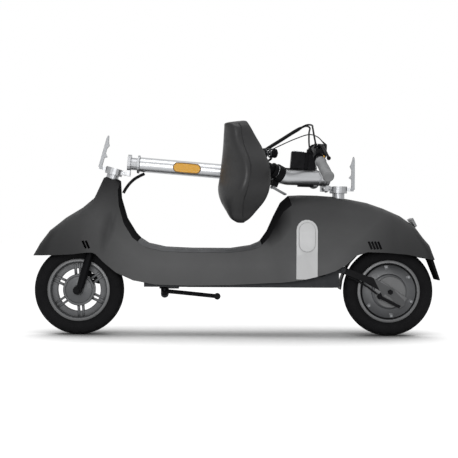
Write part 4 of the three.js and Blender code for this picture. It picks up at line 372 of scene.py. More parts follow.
class Surface(Nodes):
    """A material being built: its shader's inputs, its object coordinates and its grain."""

    def __init__(self, name, colour, roughness, metallic=0.0, gloss=0.5):
        self.material = bpy.data.materials.new(name)
        self.material.use_nodes = True
        super().__init__(self.material.node_tree)
        self.inputs = self.tree.nodes["Principled BSDF"].inputs
        self.inputs["Base Color"].default_value = (*colour, 1)
        self.inputs["Roughness"].default_value = roughness
        self.inputs["Metallic"].default_value = metallic
        self.inputs["Specular IOR Level"].default_value = gloss
        self.colour, self.roughness, self.bumps = colour, roughness, []
        self.place = self.node("ShaderNodeTexCoord").outputs["Object"]

    def stretched(self, scale, turn=(0, 0, 0), kind="POINT"):
        mapping = self.node("ShaderNodeMapping", vector_type=kind)
        mapping.inputs["Rotation"].default_value = turn
        mapping.inputs["Scale"].default_value = scale
        self.feed(mapping.inputs["Vector"], self.place)
        return mapping.outputs["Vector"]

    def noise(self, scale, detail=3.0, vector=None):
        made = self.node("ShaderNodeTexNoise")
        made.inputs["Scale"].default_value = scale
        made.inputs["Detail"].default_value = detail
        self.feed(made.inputs["Vector"], vector or self.place)
        return made.outputs["Fac"]

    def cells(self, scale, feature="DISTANCE_TO_EDGE"):
        made = self.node("ShaderNodeTexVoronoi", feature=feature)
        made.inputs["Scale"].default_value = scale
        self.feed(made.inputs["Vector"], self.place)
        return made.outputs["Distance"]

    def ramp(self, value, dark, light):
        """A colour between two, as a grain's value has it."""
        made = self.node("ShaderNodeValToRGB")
        stops = ((GRAIN_LOW, dark), (GRAIN_HIGH, light))
        for element, (at, colour) in zip(made.color_ramp.elements, stops):
            element.position = at
            element.color = (*colour, 1)
        self.feed(made.inputs["Fac"], value)
        return made.outputs["Color"]

    def blend(self, share, first, second):
        """The first colour where the share is 0 and the second where it is 1."""
        made = self.node("ShaderNodeMix", data_type="RGBA")
        self.feed(made.inputs[MIX_SHARE], share)
        self.feed(made.inputs[MIX_FIRST], first)
        self.feed(made.inputs[MIX_SECOND], second)
        return made.outputs[MIX_RESULT]

    def split(self, vector):
        """A vector's X and Z: along the scooter, and up."""
        made = self.node("ShaderNodeSeparateXYZ")
        self.feed(made.inputs[0], vector)
        return made.outputs["X"], made.outputs["Z"]

    def way_to(self, x, z):
        """In side view, the way from the shaded spot to a point: its X, its Z and its length."""
        here_x, here_z = self.split(self.place)
        across = self.math("SUBTRACT", x, here_x)
        up = self.math("SUBTRACT", z, here_z)
        squares = self.math("ADD", self.math("MULTIPLY", across, across), self.math("MULTIPLY", up, up))
        return across, up, self.math("SQRT", squares)

    def tint(self, value, amount):
        """The base colour, varied a little by a grain's value."""
        dark = tuple(c * (1 - amount) for c in self.colour)
        light = tuple(min(c * (1 + amount), 1) for c in self.colour)
        self.feed(self.inputs["Base Color"], self.ramp(value, dark, light))

    def rough(self, value, amount):
        low, high = max(self.roughness - amount, 0.02), min(self.roughness + amount, 1)
        self.feed(self.inputs["Roughness"], self.spread(value, low, high))

    def bend(self, made):
        """Makes a node's normal the shader's normal."""
        self.bumps.append(made.outputs["Normal"])
        self.feed(self.inputs["Normal"], made.outputs["Normal"])

    def bump(self, height, distance, strength=0.5):
        made = self.node("ShaderNodeBump")
        made.inputs["Strength"].default_value = strength
        made.inputs["Distance"].default_value = distance
        self.feed(made.inputs["Height"], height)
        if self.bumps:
            self.feed(made.inputs["Normal"], self.bumps[-1])
        self.bend(made)

    def soft_edges(self, radius):
        """Rounds the shading of sharp edges, under any bump that follows."""
        made = self.node("ShaderNodeBevel", samples=4)
        made.inputs["Radius"].default_value = radius
        self.bend(made)

    def painted_crevice_shade(self, distance, depth=0.8):
        """Paints shade into the colour where other faces crowd close by, from ambient occlusion."""
        colour = self.inputs["Base Color"].links[0].from_socket
        near = self.node("ShaderNodeAmbientOcclusion", samples=8)
        near.inputs["Distance"].default_value = distance
        dark = self.spread(near.outputs["AO"], depth, 0, 0.4, 0.9)
        self.feed(self.inputs["Base Color"], self.blend(dark, colour, (0, 0, 0, 1)))


print("surfaces can be built")

# %% [markdown]
# ## Plastic, paint and metal
# Moulded plastic and powder coat have a fine even grain. Machined parts keep the tool's lines, drawn as
# stretched noise. A low specular level keeps blacks black in a white studio.

# %% Plastic, paint and metal


def moulded(name, colour, roughness, grain=1400, depth=0.00012, edge=0.0012, vary=0.08, gloss=0.5):
    """Moulded plastic or powder coat: a fine even grain."""
    s = Surface(name, colour, roughness, gloss=gloss)
    s.soft_edges(edge)
    s.tint(s.noise(9, 4), vary)
    s.rough(s.noise(60, 4), 0.06)
    s.bump(s.noise(grain, 2), depth, 0.35)
    return s


def metal(name, colour, roughness, along=(1, 1, 1), scale=500, depth=0.00005, edge=0.0008):
    """Bare metal with fine lines left by machining or brushing."""
    s = Surface(name, colour, roughness, 1.0)
    s.soft_edges(edge)
    lines = s.noise(scale, 3, s.stretched(along))
    s.tint(lines, 0.06)
    s.rough(lines, 0.07)
    s.bump(lines, depth, 0.3)
    return s


FRAME_COAT = moulded("frame_coat", (0.036, 0.038, 0.042), 0.5, grain=900, gloss=0.15)
PANEL = moulded("panel_plastic", (0.018, 0.018, 0.019), 0.55, grain=1500, gloss=0.0)
BLACK_COAT = moulded("black_coat", (0.006, 0.006, 0.007), 0.45, grain=900, gloss=0.06)
BLACK_PLASTIC = moulded("black_plastic", (0.007, 0.007, 0.008), 0.5, grain=1800, gloss=0.06)
BRONZE = moulded("reflector_frame_plastic", (0.20, 0.11, 0.035), 0.45, gloss=0.3)
STRIP = moulded("pale_plastic", (0.70, 0.705, 0.71), 0.42, grain=1800, depth=0.00008, vary=0.03)
# Painted shade on the pale strip and its cap where other faces crowd close
STRIP.painted_crevice_shade(0.008, 0.6)
PLATE_COAT = moulded("plate_coat", (0.17, 0.172, 0.176), 0.42, grain=900)
# Painted shade on the plates where other faces crowd close
PLATE_COAT.painted_crevice_shade(0.01)
MACHINED = metal("machined_alloy", (0.34, 0.345, 0.355), 0.42, (1, 6, 6), 420)
LEVER_METAL = metal("lever_alloy", (0.17, 0.174, 0.18), 0.42, (1, 6, 6), 420)
STEEL = metal("bright_steel", (0.30, 0.305, 0.31), 0.3, (5, 1, 5), 500)
SPRING_STEEL = metal("spring_steel", (0.05, 0.052, 0.055), 0.35, (1, 1, 1), 700)
print("plastics and metals:", len(bpy.data.materials))

# %% [markdown]
# ## The body's colour and painted shade
# The covers are satin grey. Shade is painted into their colour: darker upwards and towards both ends,
# and black where they roll into the foot well. Lamps could darken them only from one side, so the
# painted shade follows height, distance and normal instead, and looks the same under any light.

# %% Body colour and painted shade
WELL_X, WELL_Z = -0.13, 0.47


def body_plastic_with_painted_shade():
    """Grey plastic with shade painted in: darker at top and ends, black where it turns to the foot well.
    """
    s = moulded("body_plastic", (0.08, 0.081, 0.083), 0.5, grain=1600, depth=0.0001, gloss=0.07)
    cloud = s.noise(9, 4)
    # low is the lit grey; high and black are painted shade, for the top and ends and for the well's edge
    low = s.ramp(cloud, (0.134, 0.135, 0.137), (0.148, 0.149, 0.151))
    high = s.ramp(cloud, (0.030, 0.030, 0.031), (0.036, 0.036, 0.037))
    black = s.ramp(cloud, (0.010, 0.010, 0.011), (0.013, 0.013, 0.014))
    x, z = s.split(s.place)
    normal_x, normal_z = s.split(s.node("ShaderNodeNewGeometry").outputs["Normal"])
    # Painted shade: darker with height, where the normal turns endwise, and away from the middle
    height = s.spread(z, 0, 1, 0.24, 0.52)
    endwise_shade = s.spread(s.math("ABSOLUTE", normal_x), 0, 0.9, 0.12, 0.6)
    far_out_shade = s.spread(s.math("ABSOLUTE", x), 0, 0.7, 0.30, 0.52)
    shade = s.math("MAXIMUM", s.math("MAXIMUM", height, endwise_shade), far_out_shade)
    # Painted black shade where the surface turns towards the foot well
    across, up, length = s.way_to(WELL_X, WELL_Z)
    inward = s.math("ADD", s.math("MULTIPLY", normal_x, across), s.math("MULTIPLY", normal_z, up))
    well_shade = s.spread(s.math("DIVIDE", inward, length), 0, 1, 0.3, 0.55)
    s.feed(s.inputs["Base Color"], s.blend(well_shade, s.blend(shade, low, high), black))
    return s


BODY = body_plastic_with_painted_shade()
print("painted:", BODY.material.name)

# %% [markdown]
# ## Drawn tubes, rubber and the saddle's cover
# Drawn alloy has long fine lines along the tube. Rubber is matt, and the mat's studs are round cells.
# The saddle's vinyl is pressed like leather, with small cells over faint wide creases.

# %% Tubes, rubber and vinyl


def brushed(name, direction):
    """Drawn tube: long fine lines in the tube's own direction."""
    s = Surface(name, (0.46, 0.468, 0.48), 0.36, 1.0)
    turn = Vector(direction).to_track_quat("X", "Z").to_euler()
    lines = s.noise(700, 3, s.stretched((30, 1, 1), turn, "TEXTURE"))
    s.tint(lines, 0.05)
    s.rough(lines, 0.08)
    s.bump(lines, 0.00004, 0.3)
    return s


def rubber(name, colour, roughness, grain=900):
    """Matt rubber with an uneven, slightly dusty colour."""
    s = Surface(name, colour, roughness, gloss=0.08)
    s.soft_edges(0.0008)
    s.tint(s.noise(25, 5), 0.14)
    s.rough(s.noise(90, 3), 0.05)
    s.bump(s.noise(grain, 3), 0.00015, 0.4)
    return s


TYRE = rubber("tyre_rubber", (0.013, 0.013, 0.014), 0.78)
CABLE = rubber("cable_sheath", (0.007, 0.007, 0.008), 0.5, 2000)
GRIP = rubber("grip_rubber", (0.36, 0.365, 0.37), 0.75, 1300)
STEM_METAL = brushed("stem_alloy", STEM_ALONG)
SEAT_METAL = brushed("seat_tube_alloy", SEAT_UP)
# Paler than the vinyl, so the piping also paints a highlight along the saddle's ridge
PIPING_HIGHLIGHT = rubber("saddle_piping_painted_highlight", (0.045, 0.045, 0.047), 0.45, 1500)

# The floor mat's studs are a few millimetres apart
MAT = rubber("mat_rubber", (0.15, 0.153, 0.158), 0.7)
MAT.bump(MAT.spread(MAT.cells(190, feature="F1"), 1, 0, 0.1, 0.5), 0.0004, 0.5)

# The saddle's cover has wide creases first, then the grain
VINYL = Surface("saddle_vinyl", (0.014, 0.014, 0.015), 0.40, gloss=0.4)
VINYL.tint(VINYL.noise(14, 4), 0.18)
VINYL.rough(VINYL.noise(70, 4), 0.08)
VINYL.bump(VINYL.noise(22, 2), 0.0015, 0.2)
VINYL.bump(VINYL.cells(520), 0.0003, 0.45)
print("soft materials made")

# %% [markdown]
# ## Lenses
# Reflectors and lamps are clear plastic over small prisms. Cells in colour and bump stand for them, as
# modelled prisms would cost triangles and show no more.

# %% Lenses
AMBER = Surface("amber_lens", (1.0, 0.46, 0.03), 0.3, gloss=0.2)
AMBER.inputs["Coat Weight"].default_value = 0.05
AMBER.inputs["Coat Roughness"].default_value = 0.05
prisms = AMBER.cells(420, feature="F1")
AMBER.tint(prisms, 0.15)
AMBER.bump(prisms, 0.0006, 0.5)

LENS = Surface("clear_lens", (0.60, 0.63, 0.66), 0.08)
LENS.inputs["Transmission Weight"].default_value = 0.35
LENS.tint(LENS.noise(160, 2), 0.1)
LENS.bump(LENS.noise(320, 1), 0.0004, 0.3)

TAIL_LENS = Surface("tail_lens", (0.22, 0.225, 0.23), 0.35)
TAIL_LENS.soft_edges(0.002)
TAIL_LENS.tint(TAIL_LENS.noise(160, 2), 0.1)
TAIL_LENS.rough(TAIL_LENS.noise(200, 2), 0.05)
TAIL_LENS.bump(TAIL_LENS.cells(260), 0.0003, 0.3)
print("lenses made")

# %% [markdown]
# ## Wheel and arm paint
# Each wheel has dark paint and a bright turned ring, chosen by the distance from its axle. The arm is
# black with paler end plates, split along a slant.

# %% Wheel and arm paint
RIM_RING = (0.0975, 0.0982)
ARM_SLANT, ARM_SPLIT = 0.5, (0.562, 0.564)


def wheel_paint(name, axle):
    """Dark paint that turns to bare metal on the rim's ring."""
    s = Surface(name, (0.085, 0.088, 0.092), 0.4, 0.2)
    s.soft_edges(0.0008)
    radius = s.way_to(axle.x, axle.z)[2]
    paint = s.ramp(s.noise(20, 4), (0.070, 0.072, 0.076), (0.100, 0.103, 0.108))
    bright = s.ramp(s.noise(500, 3), (0.135, 0.137, 0.14), (0.175, 0.177, 0.18))
    s.feed(s.inputs["Base Color"], s.blend(s.spread(radius, 0, 1, *RIM_RING), paint, bright))
    # Painted shade in the wheel's corners, between spokes, hub and rim
    s.painted_crevice_shade(0.012)
    s.rough(s.noise(150, 3), 0.06)
    s.bump(s.noise(1200, 2), 0.00008, 0.3)
    return s


def arm_paint():
    """Black paint on the arm, and the paler paint of its end plates behind a slanting line."""
    s = moulded("swingarm_coat", (0.007, 0.007, 0.008), 0.42, grain=900, gloss=0.06)
    x, z = s.split(s.place)
    behind = s.spread(s.math("ADD", x, s.math("MULTIPLY", z, ARM_SLANT)), 0, 1, *ARM_SPLIT)
    cloud = s.noise(9, 4)
    black = s.ramp(cloud, (0.006, 0.006, 0.007), (0.009, 0.009, 0.010))
    pale = s.ramp(cloud, (0.140, 0.142, 0.145), (0.160, 0.162, 0.165))
    s.feed(s.inputs["Base Color"], s.blend(behind, black, pale))
    return s


SWING_PAINT = arm_paint()
FRONT_PAINT = wheel_paint("front_wheel_paint", FRONT_AXLE)
REAR_PAINT = wheel_paint("rear_wheel_paint", REAR_AXLE)
print("materials:", len(bpy.data.materials))

# %% [markdown]
# ## Materials on the solids that stay
# Most solids show as they are, so that each keeps its place and its joint. They only get a finish and
# smooth shading, from one table.

# %% Dress the solids
DRESS = {
    BODY: ["side_cover_left", "side_cover_right"],
    PANEL: ["knee_panel", "seat_tower_panel", "rear_mudflap"],
    MAT: ["floor_mat"],
    FRAME_COAT: ["main_frame", "floor_tray", "kickstand_bracket"],
    STRIP: ["side_trim_left", "side_trim_right", "charge_port_cap"],
    BLACK_PLASTIC: ["headlight_housing", "display", "brake_perch_left", "brake_perch_right"],
    LENS: ["headlight_lens"],
    TAIL_LENS: ["tail_light"],
    BLACK_COAT: [
        "fork_crown_steerer", "fork_lower_legs", "front_brake_caliper", "gooseneck",
        "rear_brake_arm", "kickstand_leg", "saddle_frame", "shock_body", "seat_clamp",
        "brake_lever_rear", "brake_lever_front", "front_axle", "rear_axle",
    ],
    MACHINED: ["seat_hinge_base", "stem_hinge_base", "stem_flange"],
    LEVER_METAL: ["stem_latch_lever", "seat_latch_lever", "seat_quick_release"],
    STEEL: ["shock_rod"],
    AMBER: ["side_reflector_left", "side_reflector_right", "horn_button"],
    SWING_PAINT: ["swingarm"],
    STEM_METAL: ["stem_tube"],
    SEAT_METAL: ["seat_tube"],
}
for surface, names in DRESS.items():
    for name in names:
        node = frame["nodes"][name]
        node.data.materials.clear()
        node.data.materials.append(surface.material)
        smooth(node.data, 30)
for name in ("side_cover_left", "side_cover_right", "knee_panel", "seat_tower_panel", "floor_mat"):
    even_shading(frame["nodes"][name].data)
print("dressed:", sum(len(v) for v in DRESS.values()))

# %% [markdown]
# ## Tyres
# A tyre's grooves open at its shoulders, turn about on the two sides. The section is spun into short
# faces, and every few steps a pair is pushed in. A bump would leave the outline smooth.

# %% Tyres
TYRE_R, RIM_R, TYRE_HALF, BEAD_GAP = 0.1525, 0.106, 0.030, 0.0003
TREAD_STEPS, TREAD_PITCH, GROOVE_STEPS, GROOVE_DEPTH = 180, 6, 2, 0.0028
SECTION_HEIGHT = TYRE_R - RIM_R - BEAD_GAP

# Half of a tyre's section from its bead to its crown, as shares of its height and half its width
TYRE_SECTION = [
    (0.00, 0.72), (0.10, 0.86), (0.22, 0.95), (0.38, 1.0), (0.52, 0.995), (0.66, 0.94), (0.78, 0.85),
    (0.79, 0.86), (0.90, 0.70), (0.965, 0.50), (0.99, 0.32), (0.975, 0.29), (0.975, 0.25),
    (0.995, 0.22), (1.0, 0.0),
]


def in_groove(face, axle):
    """Whether a face on the shoulder belongs to a groove. One side is half a pitch behind the other."""
    centre = face.calc_center_median() - axle
    share = (math.hypot(centre.x, centre.z) - RIM_R) / SECTION_HEIGHT
    turn = math.atan2(centre.z, centre.x) / (2 * math.pi) * TREAD_STEPS
    step = math.floor(turn + 0.5) + (0 if centre.y > 0 else TREAD_PITCH // 2)
    on_shoulder = 0.79 < share < 0.97 and abs(centre.y) > TYRE_HALF * 0.34
    return on_shoulder and step % TREAD_PITCH < GROOVE_STEPS


def make_tyre(name, axle, body, node):
    half = [(RIM_R + BEAD_GAP + SECTION_HEIGHT * up, TYRE_HALF * out) for up, out in TYRE_SECTION]
    bm = bmesh.new()
    spin_profile(bm, half + [(r, -y) for r, y in half[-2::-1]], axle, Y_AXIS, TREAD_STEPS)
    grooved = [face for face in bm.faces if in_groove(face, axle)]
    made = bmesh.ops.extrude_face_region(bm, geom=grooved)
    for vert in [v for v in made["geom"] if isinstance(v, bmesh.types.BMVert)]:
        out = vert.co - axle
        out.y = 0
        vert.co -= out.normalized() * GROOVE_DEPTH
    bmesh.ops.delete(bm, geom=grooved, context="FACES")
    piece(name, bm, TYRE, body, angle=28, node=node)
    return len(grooved)


count = make_tyre("front_tyre_treaded", FRONT_AXLE, "front_wheel", "front_tyre")
make_tyre("rear_tyre_treaded", REAR_AXLE, "rear_wheel", "rear_tyre")
print("grooved faces on a tyre:", count)

# %% [markdown]
# ## Rims
# Both rims are cast, with a barrel and lips. The front one has six pairs of spokes, made of rounded
# boxes, round a dished hub. The rear one holds a hub motor, so its side is a closed, stepped cover.

# %% Rims
RIM_SECTION = [
    (0.0935, -0.0235), (0.0965, -0.0262), (0.1035, -0.0266), (0.1062, -0.0252), (0.1062, 0.0252),
    (0.1035, 0.0266), (0.0965, 0.0262), (0.0935, 0.0235), (0.0925, 0.012), (0.0925, -0.012),
]
SPOKE_RING = [
    (0.0727, -0.0075), (0.0745, -0.009), (0.094, -0.009), (0.094, 0.009), (0.0745, 0.009),
    (0.0727, 0.0075),
]
HUB_SIDE = [
    (0.0, 0.0255), (0.016, 0.0255), (0.0175, 0.024), (0.0445, 0.0205), (0.0465, 0.0225),
    (0.0525, 0.0225), (0.054, 0.021),
]
MOTOR_SIDE = [
    (0.0, 0.0372), (0.0555, 0.0372), (0.0575, 0.036), (0.060, 0.0335), (0.088, 0.0302),
    (0.0905, 0.0282), (0.0935, 0.011), (0.0965, 0.010),
]
SPOKES, SPOKE_APART, SPOKE_MIDDLE, SPOKE_SIZE = 6, 0.0078, 0.0715, (0.0076, 0.0225, 0.043)
FIRST_SPOKE = -5


def both_sides(side):
    """A profile from one end of the axle to the other, from its half on one side."""
    return [(r, -y) for r, y in side] + [(r, y) for r, y in reversed(side)]


def sixth_turn(axle, i, first=0):
    """Turns a shape about an axle by sixths, from a first angle in degrees."""
    return Matrix.Translation(axle) @ Matrix.Rotation(math.radians(60 * i + first), 4, "Y")


bm = bmesh.new()
spin_profile(bm, RIM_SECTION, FRONT_AXLE, Y_AXIS, 128)
spin_profile(bm, SPOKE_RING, FRONT_AXLE, Y_AXIS, 128)
turned(bm, both_sides(HUB_SIDE), FRONT_AXLE, Y_AXIS, 96)
for i in range(SPOKES):
    for side in (-1, 1):
        place = (side * SPOKE_APART, 0, SPOKE_MIDDLE)
        box(bm, place, SPOKE_SIZE, sixth_turn(FRONT_AXLE, i, FIRST_SPOKE), bevel=0.0018)
piece("front_rim_spoked", bm, FRONT_PAINT, "front_wheel", node="front_rim")

bm = bmesh.new()
spin_profile(bm, RIM_SECTION, REAR_AXLE, Y_AXIS, 128)
turned(bm, both_sides(MOTOR_SIDE), REAR_AXLE, Y_AXIS, 128)
piece("rear_rim_with_motor", bm, REAR_PAINT, "rear_wheel", node="rear_rim_motor")
print("rims made")

# %% [markdown]
# ## The motor's screws
# Six screws hold each cover of the motor, each in a raised boss with a washer. One loop places them on
# both sides.

# %% Motor screws
FIRST_SCREW = 24
BOSS_PLACE, BOSS_SIZE = (0.081, 0.0300), (0.019, 0.0036, 0.0155)
SCREW_PLACE = (0.083, 0.0314)
WASHER_SECTION = [(0.0018, 0), (0.0041, 0), (0.0041, 0.0014), (0.0018, 0.0014)]
bosses, screws = bmesh.new(), bmesh.new()
for i in range(6):
    for side in (-1, 1):
        turn = sixth_turn(REAR_AXLE, i, FIRST_SCREW)
        box(bosses, (BOSS_PLACE[0], side * BOSS_PLACE[1], 0), BOSS_SIZE, turn, bevel=0.0017)
        place = turn @ Vector((SCREW_PLACE[0], side * SCREW_PLACE[1], 0))
        spin_profile(screws, WASHER_SECTION, place, Y_AXIS * side, 24)
        disc(screws, place, Y_AXIS * side, 0.0019, 0.0006, bevel=0.0001, sides=20)
piece("motor_cover_bosses", bosses, REAR_PAINT, "rear_wheel")
piece("motor_cover_screws", screws, LEVER_METAL, "rear_wheel")
print("screws:", 2 * 6)

# %% [markdown]
# ## Plates and the brake disc
# Dropout plates clamp the rear axle, a round plate holds the rear brake, and the front brake's disc is
# a ring on six arms. All are cut from sheet, so each is a thin box or a thin turned profile.

# %% Plates and disc
PLATE_FROM, PLATE_TO, PLATE_HALF = Vector((0.476, 0, 0.174)), Vector((0.566, 0, 0.114)), 0.0215
PLATE_Y, PLATE_THICK = 0.0568, 0.006
plate_along = (PLATE_TO - PLATE_FROM).normalized()
plate_turn = Matrix((plate_along, -Y_AXIS, -plate_along.cross(Y_AXIS))).transposed().to_4x4()
bm = bmesh.new()
for side in (-1, 1):
    centre = (PLATE_FROM + PLATE_TO) / 2 + Y_AXIS * side * PLATE_Y
    size = ((PLATE_TO - PLATE_FROM).length, PLATE_THICK, 2 * PLATE_HALF)
    box(bm, (0, 0, 0), size, Matrix.Translation(centre) @ plate_turn, bevel=0.0022, segments=3)
piece("dropout_plates", bm, PLATE_COAT, "swing")

bm = bmesh.new()
brake_plate = [(0, 0), (0.0535, 0), (0.0535, 0.0016), (0.0515, 0.003), (0.0, 0.003)]
turned(bm, brake_plate, REAR_AXLE + Vector((0.003, -0.0374, -0.002)), -Y_AXIS, 96)
piece("brake_plate", bm, PLATE_COAT, "swing")

DISC_Y, ARMS_Y = 0.0312, 0.0322
disc_centre = FRONT_AXLE + Y_AXIS * DISC_Y
carrier = [(0, -0.0042), (0.019, -0.0042), (0.021, -0.002), (0.021, 0.002), (0, 0.002)]
bm = bmesh.new()
spin_profile(bm, [(0.036, 0.0), (0.0525, 0.0), (0.0525, 0.002), (0.036, 0.002)], disc_centre, Y_AXIS)
turned(bm, carrier, disc_centre, Y_AXIS, 48)
for i in range(6):
    turn = sixth_turn(FRONT_AXLE + Y_AXIS * ARMS_Y, i)
    box(bm, (0, 0, 0.029), (0.007, 0.0018, 0.020), turn, bevel=0.0004)
piece("front_brake_disc_ring", bm, STEEL, "front_wheel", node="front_brake_disc")
print("plates and disc made")

# %% [markdown]
# ## Stem and seat tube
# Both are drawn again with more sides than the solids have. The stem is one turned ring. The seat tube
# has an elbow, so it is swept as a skin just over the solid, which stays.

# %% Stem and seat tube
STEM_OUTER, STEM_INNER, STEM_LENGTH, STEM_EDGE = 0.0250, 0.022, 0.53, 0.0008
STEM_SECTION = [
    (STEM_INNER, 0), (STEM_OUTER - STEM_EDGE, 0), (STEM_OUTER, STEM_EDGE),
    (STEM_OUTER, STEM_LENGTH - STEM_EDGE), (STEM_OUTER - STEM_EDGE, STEM_LENGTH),
    (STEM_INNER, STEM_LENGTH),
]
bm = bmesh.new()
spin_profile(bm, STEM_SECTION, stem_point(42, 0), STEM_ALONG)
piece("stem_tube_drawn", bm, STEM_METAL, "stem", node="stem_tube")

TUBE_R, TUBE_X, BEND_LOW, BEND_R, TUBE_BEND, TIP = 0.0256, 36, 160, 90, math.radians(24), 20


def tube_bend(angle):
    """A place in the elbow, in the seat's own millimetres: forward and up."""
    return TUBE_X + BEND_R * (1 - math.cos(angle)), BEND_LOW + BEND_R * math.sin(angle)


route = [(TUBE_X, z) for z in (26, 60, 100, 140)]
route += [tube_bend(TUBE_BEND * i / 16) for i in range(17)]
end_x, end_z = route[-1]
for step in (8, TIP - 1, TIP - 0.05):
    route.append((end_x + step * math.sin(TUBE_BEND), end_z + step * math.cos(TUBE_BEND)))
bm = bmesh.new()
radii = [TUBE_R] * (len(route) - 1) + [TUBE_R - 0.0009]
tube(bm, [seat_point(x, 0, z) for x, z in route], radii, 72, caps=False)
piece("seat_tube_drawn", bm, SEAT_METAL, "seat_post")
print("rings in the seat tube:", len(route))

# %% [markdown]
# ## Handlebar
# The bar is one bent tube, swept back from its middle. Half its route is a list of points in the stem's
# millimetres, and the other half mirrors it.

# %% Handlebar
BAR_RADIUS, BAR_RINGS = 0.0111, 161
BAR_ROUTE = [
    (630, 100, 0), (630, 100, 28), (630, 100, 50), (631, 94, 80), (633, 79, 125), (642, 51, 185),
    (652.5, 23.5, 242), (663, -4, 300),
]
bar_points = [stem_point(a, f, -y) for a, f, y in reversed(BAR_ROUTE[1:])]
bar_points += [stem_point(a, f, y) for a, f, y in BAR_ROUTE]
bar_curve = curve_points(bar_points, BAR_RINGS)
bm = bmesh.new()
tube(bm, bar_curve, BAR_RADIUS, 32)
piece("handlebar_drawn", bm, BLACK_COAT, "stem", node="handlebar")
print("bar length:", round(length_of(bar_curve), 3))

# %% [markdown]
# ## Grips
# A grip is moulded rubber with ribs and a collar at each end. Its radius changes from ring to ring, so
# that the ribs show in the outline.

# %% Grips
GRIP_FROM, GRIP_TO, GRIP_RINGS = 0.187, 0.2985, 97
GRIP_R, GRIP_SWELL, RIB_DEPTH, COLLAR_R, COLLAR_EDGE_R = 0.0158, 0.0012, 0.0007, 0.0186, 0.0176


def bar_between(from_y, to_y, count):
    """Places on the bar's curve between two sideways distances."""
    out = []
    for i in range(count):
        y = from_y + (to_y - from_y) * i / (count - 1)
        for a, b in zip(bar_curve, bar_curve[1:]):
            if (a.y - y) * (b.y - y) <= 0 and a.y != b.y:
                out.append(a.lerp(b, (y - a.y) / (b.y - a.y)))
                break
    return out


def grip_radius(i):
    """Two rings up and two rings down for a rib, or a collar's radius near either end."""
    share = i / (GRIP_RINGS - 1)
    if share < 0.05 or share > 0.95:
        return COLLAR_R if 0.008 < share < 0.992 else COLLAR_EDGE_R
    rib = RIB_DEPTH if i % 4 < 2 else 0
    return GRIP_R + GRIP_SWELL * math.sin(math.pi * share) - rib


def make_grip(name, side, body, node):
    places = bar_between(side * GRIP_FROM, side * GRIP_TO, GRIP_RINGS)
    bm = bmesh.new()
    tube(bm, places, [grip_radius(i) for i in range(len(places))], 48)
    piece(name, bm, GRIP, body, angle=60, node=node)


make_grip("grip_left_ribbed", -1, "stem", "grip_left")
make_grip("throttle_grip_ribbed", 1, "throttle", "throttle_grip")

# Plugs close the ends of the bar inside the grips
bm = bmesh.new()
for tip, before in ((bar_curve[0], bar_curve[4]), (bar_curve[-1], bar_curve[-5])):
    out = (tip - before).normalized()
    disc(bm, tip - out * 0.0005, out, GRIP_R, 0.0028, bevel=0.0011)
piece("grip_end_plugs", bm, GRIP, "stem")
print("grips made, collar radius", COLLAR_R)

# %% [markdown]
# ## Cables
# A brake cable arcs from its lever over the bar and back to the stem, stiff enough to hold its shape.
# Each is a tube through points placed on the photograph, as simulated rope would sag more.

# %% Cables
CABLE_RINGS = 90
BRAKE_ROUTE = [
    (627, 104, -138), (620, 135, -118), (615, 166, -84), (613, 180, -45), (596, 181, -20), (560, 158, -9),
    (515, 124, -6), (470, 90, -6), (432, 58, -5), (409, 29, -5),
]
LEAD_ROUTE = [
    (662, 128, 0), (640, 146, 0), (612, 152, 0), (566, 134, 0), (515, 106, 0), (468, 78, 0), (424, 46, 0),
    (398, 28.5, 0),
]
HARNESS_ROUTE = [(-387.4, 483.3), (-378, 500), (-366, 516), (-350, 531), (-332, 542), (-315, 550)]
REAR_ROUTE = [
    (377, -62, 202.3), (400, -63, 194.3), (425, -65, 180.3), (448, -67, 166), (468, -69, 150),
    (474, -70, 146),
]


def make_cable(name, points, radius, body, node, count=CABLE_RINGS, ribs=0.0):
    """A cable along a route, with its ends in the parts that hold it."""
    places = curve_points(points, count)
    radii = [radius - (ribs if i % 3 == 0 else 0) for i in range(count)]
    bm = bmesh.new()
    tube(bm, places, radii, 20)
    made = piece(name, bm, CABLE, body, angle=60, node=node)
    path = [tuple(p) for p in places[::4]]
    if (count - 1) % 4:
        path.append(tuple(places[-1]))
    print(name, round(length_of(places), 3), "m")


left_route = [stem_point(a, f, y) for a, f, y in BRAKE_ROUTE]
right_route = [stem_point(a, f, -y) for a, f, y in BRAKE_ROUTE]
lead_route = [stem_point(a, f, y) for a, f, y in LEAD_ROUTE]
harness_route = [Vector((x / 1000, 0, z / 1000)) for x, z in HARNESS_ROUTE]
rear_route = [Vector(p) / 1000 for p in REAR_ROUTE]
make_cable("brake_cable_right_sheath", right_route, 0.003, "stem", "brake_cable_right")
make_cable("wiring_harness_ribbed", harness_route, 0.0055, "chassis", "wiring_harness", 73, 0.0008)
make_cable("rear_brake_cable_sheath", rear_route, 0.003, "swing", "rear_brake_cable", 41)

# %% [markdown]
# ## The sleeve and the boot
# A braided sleeve gathers the two brake cables, and a ribbed boot holds the control lead at the
# display. Both are rings that change size. Each cable is made after its fitting.

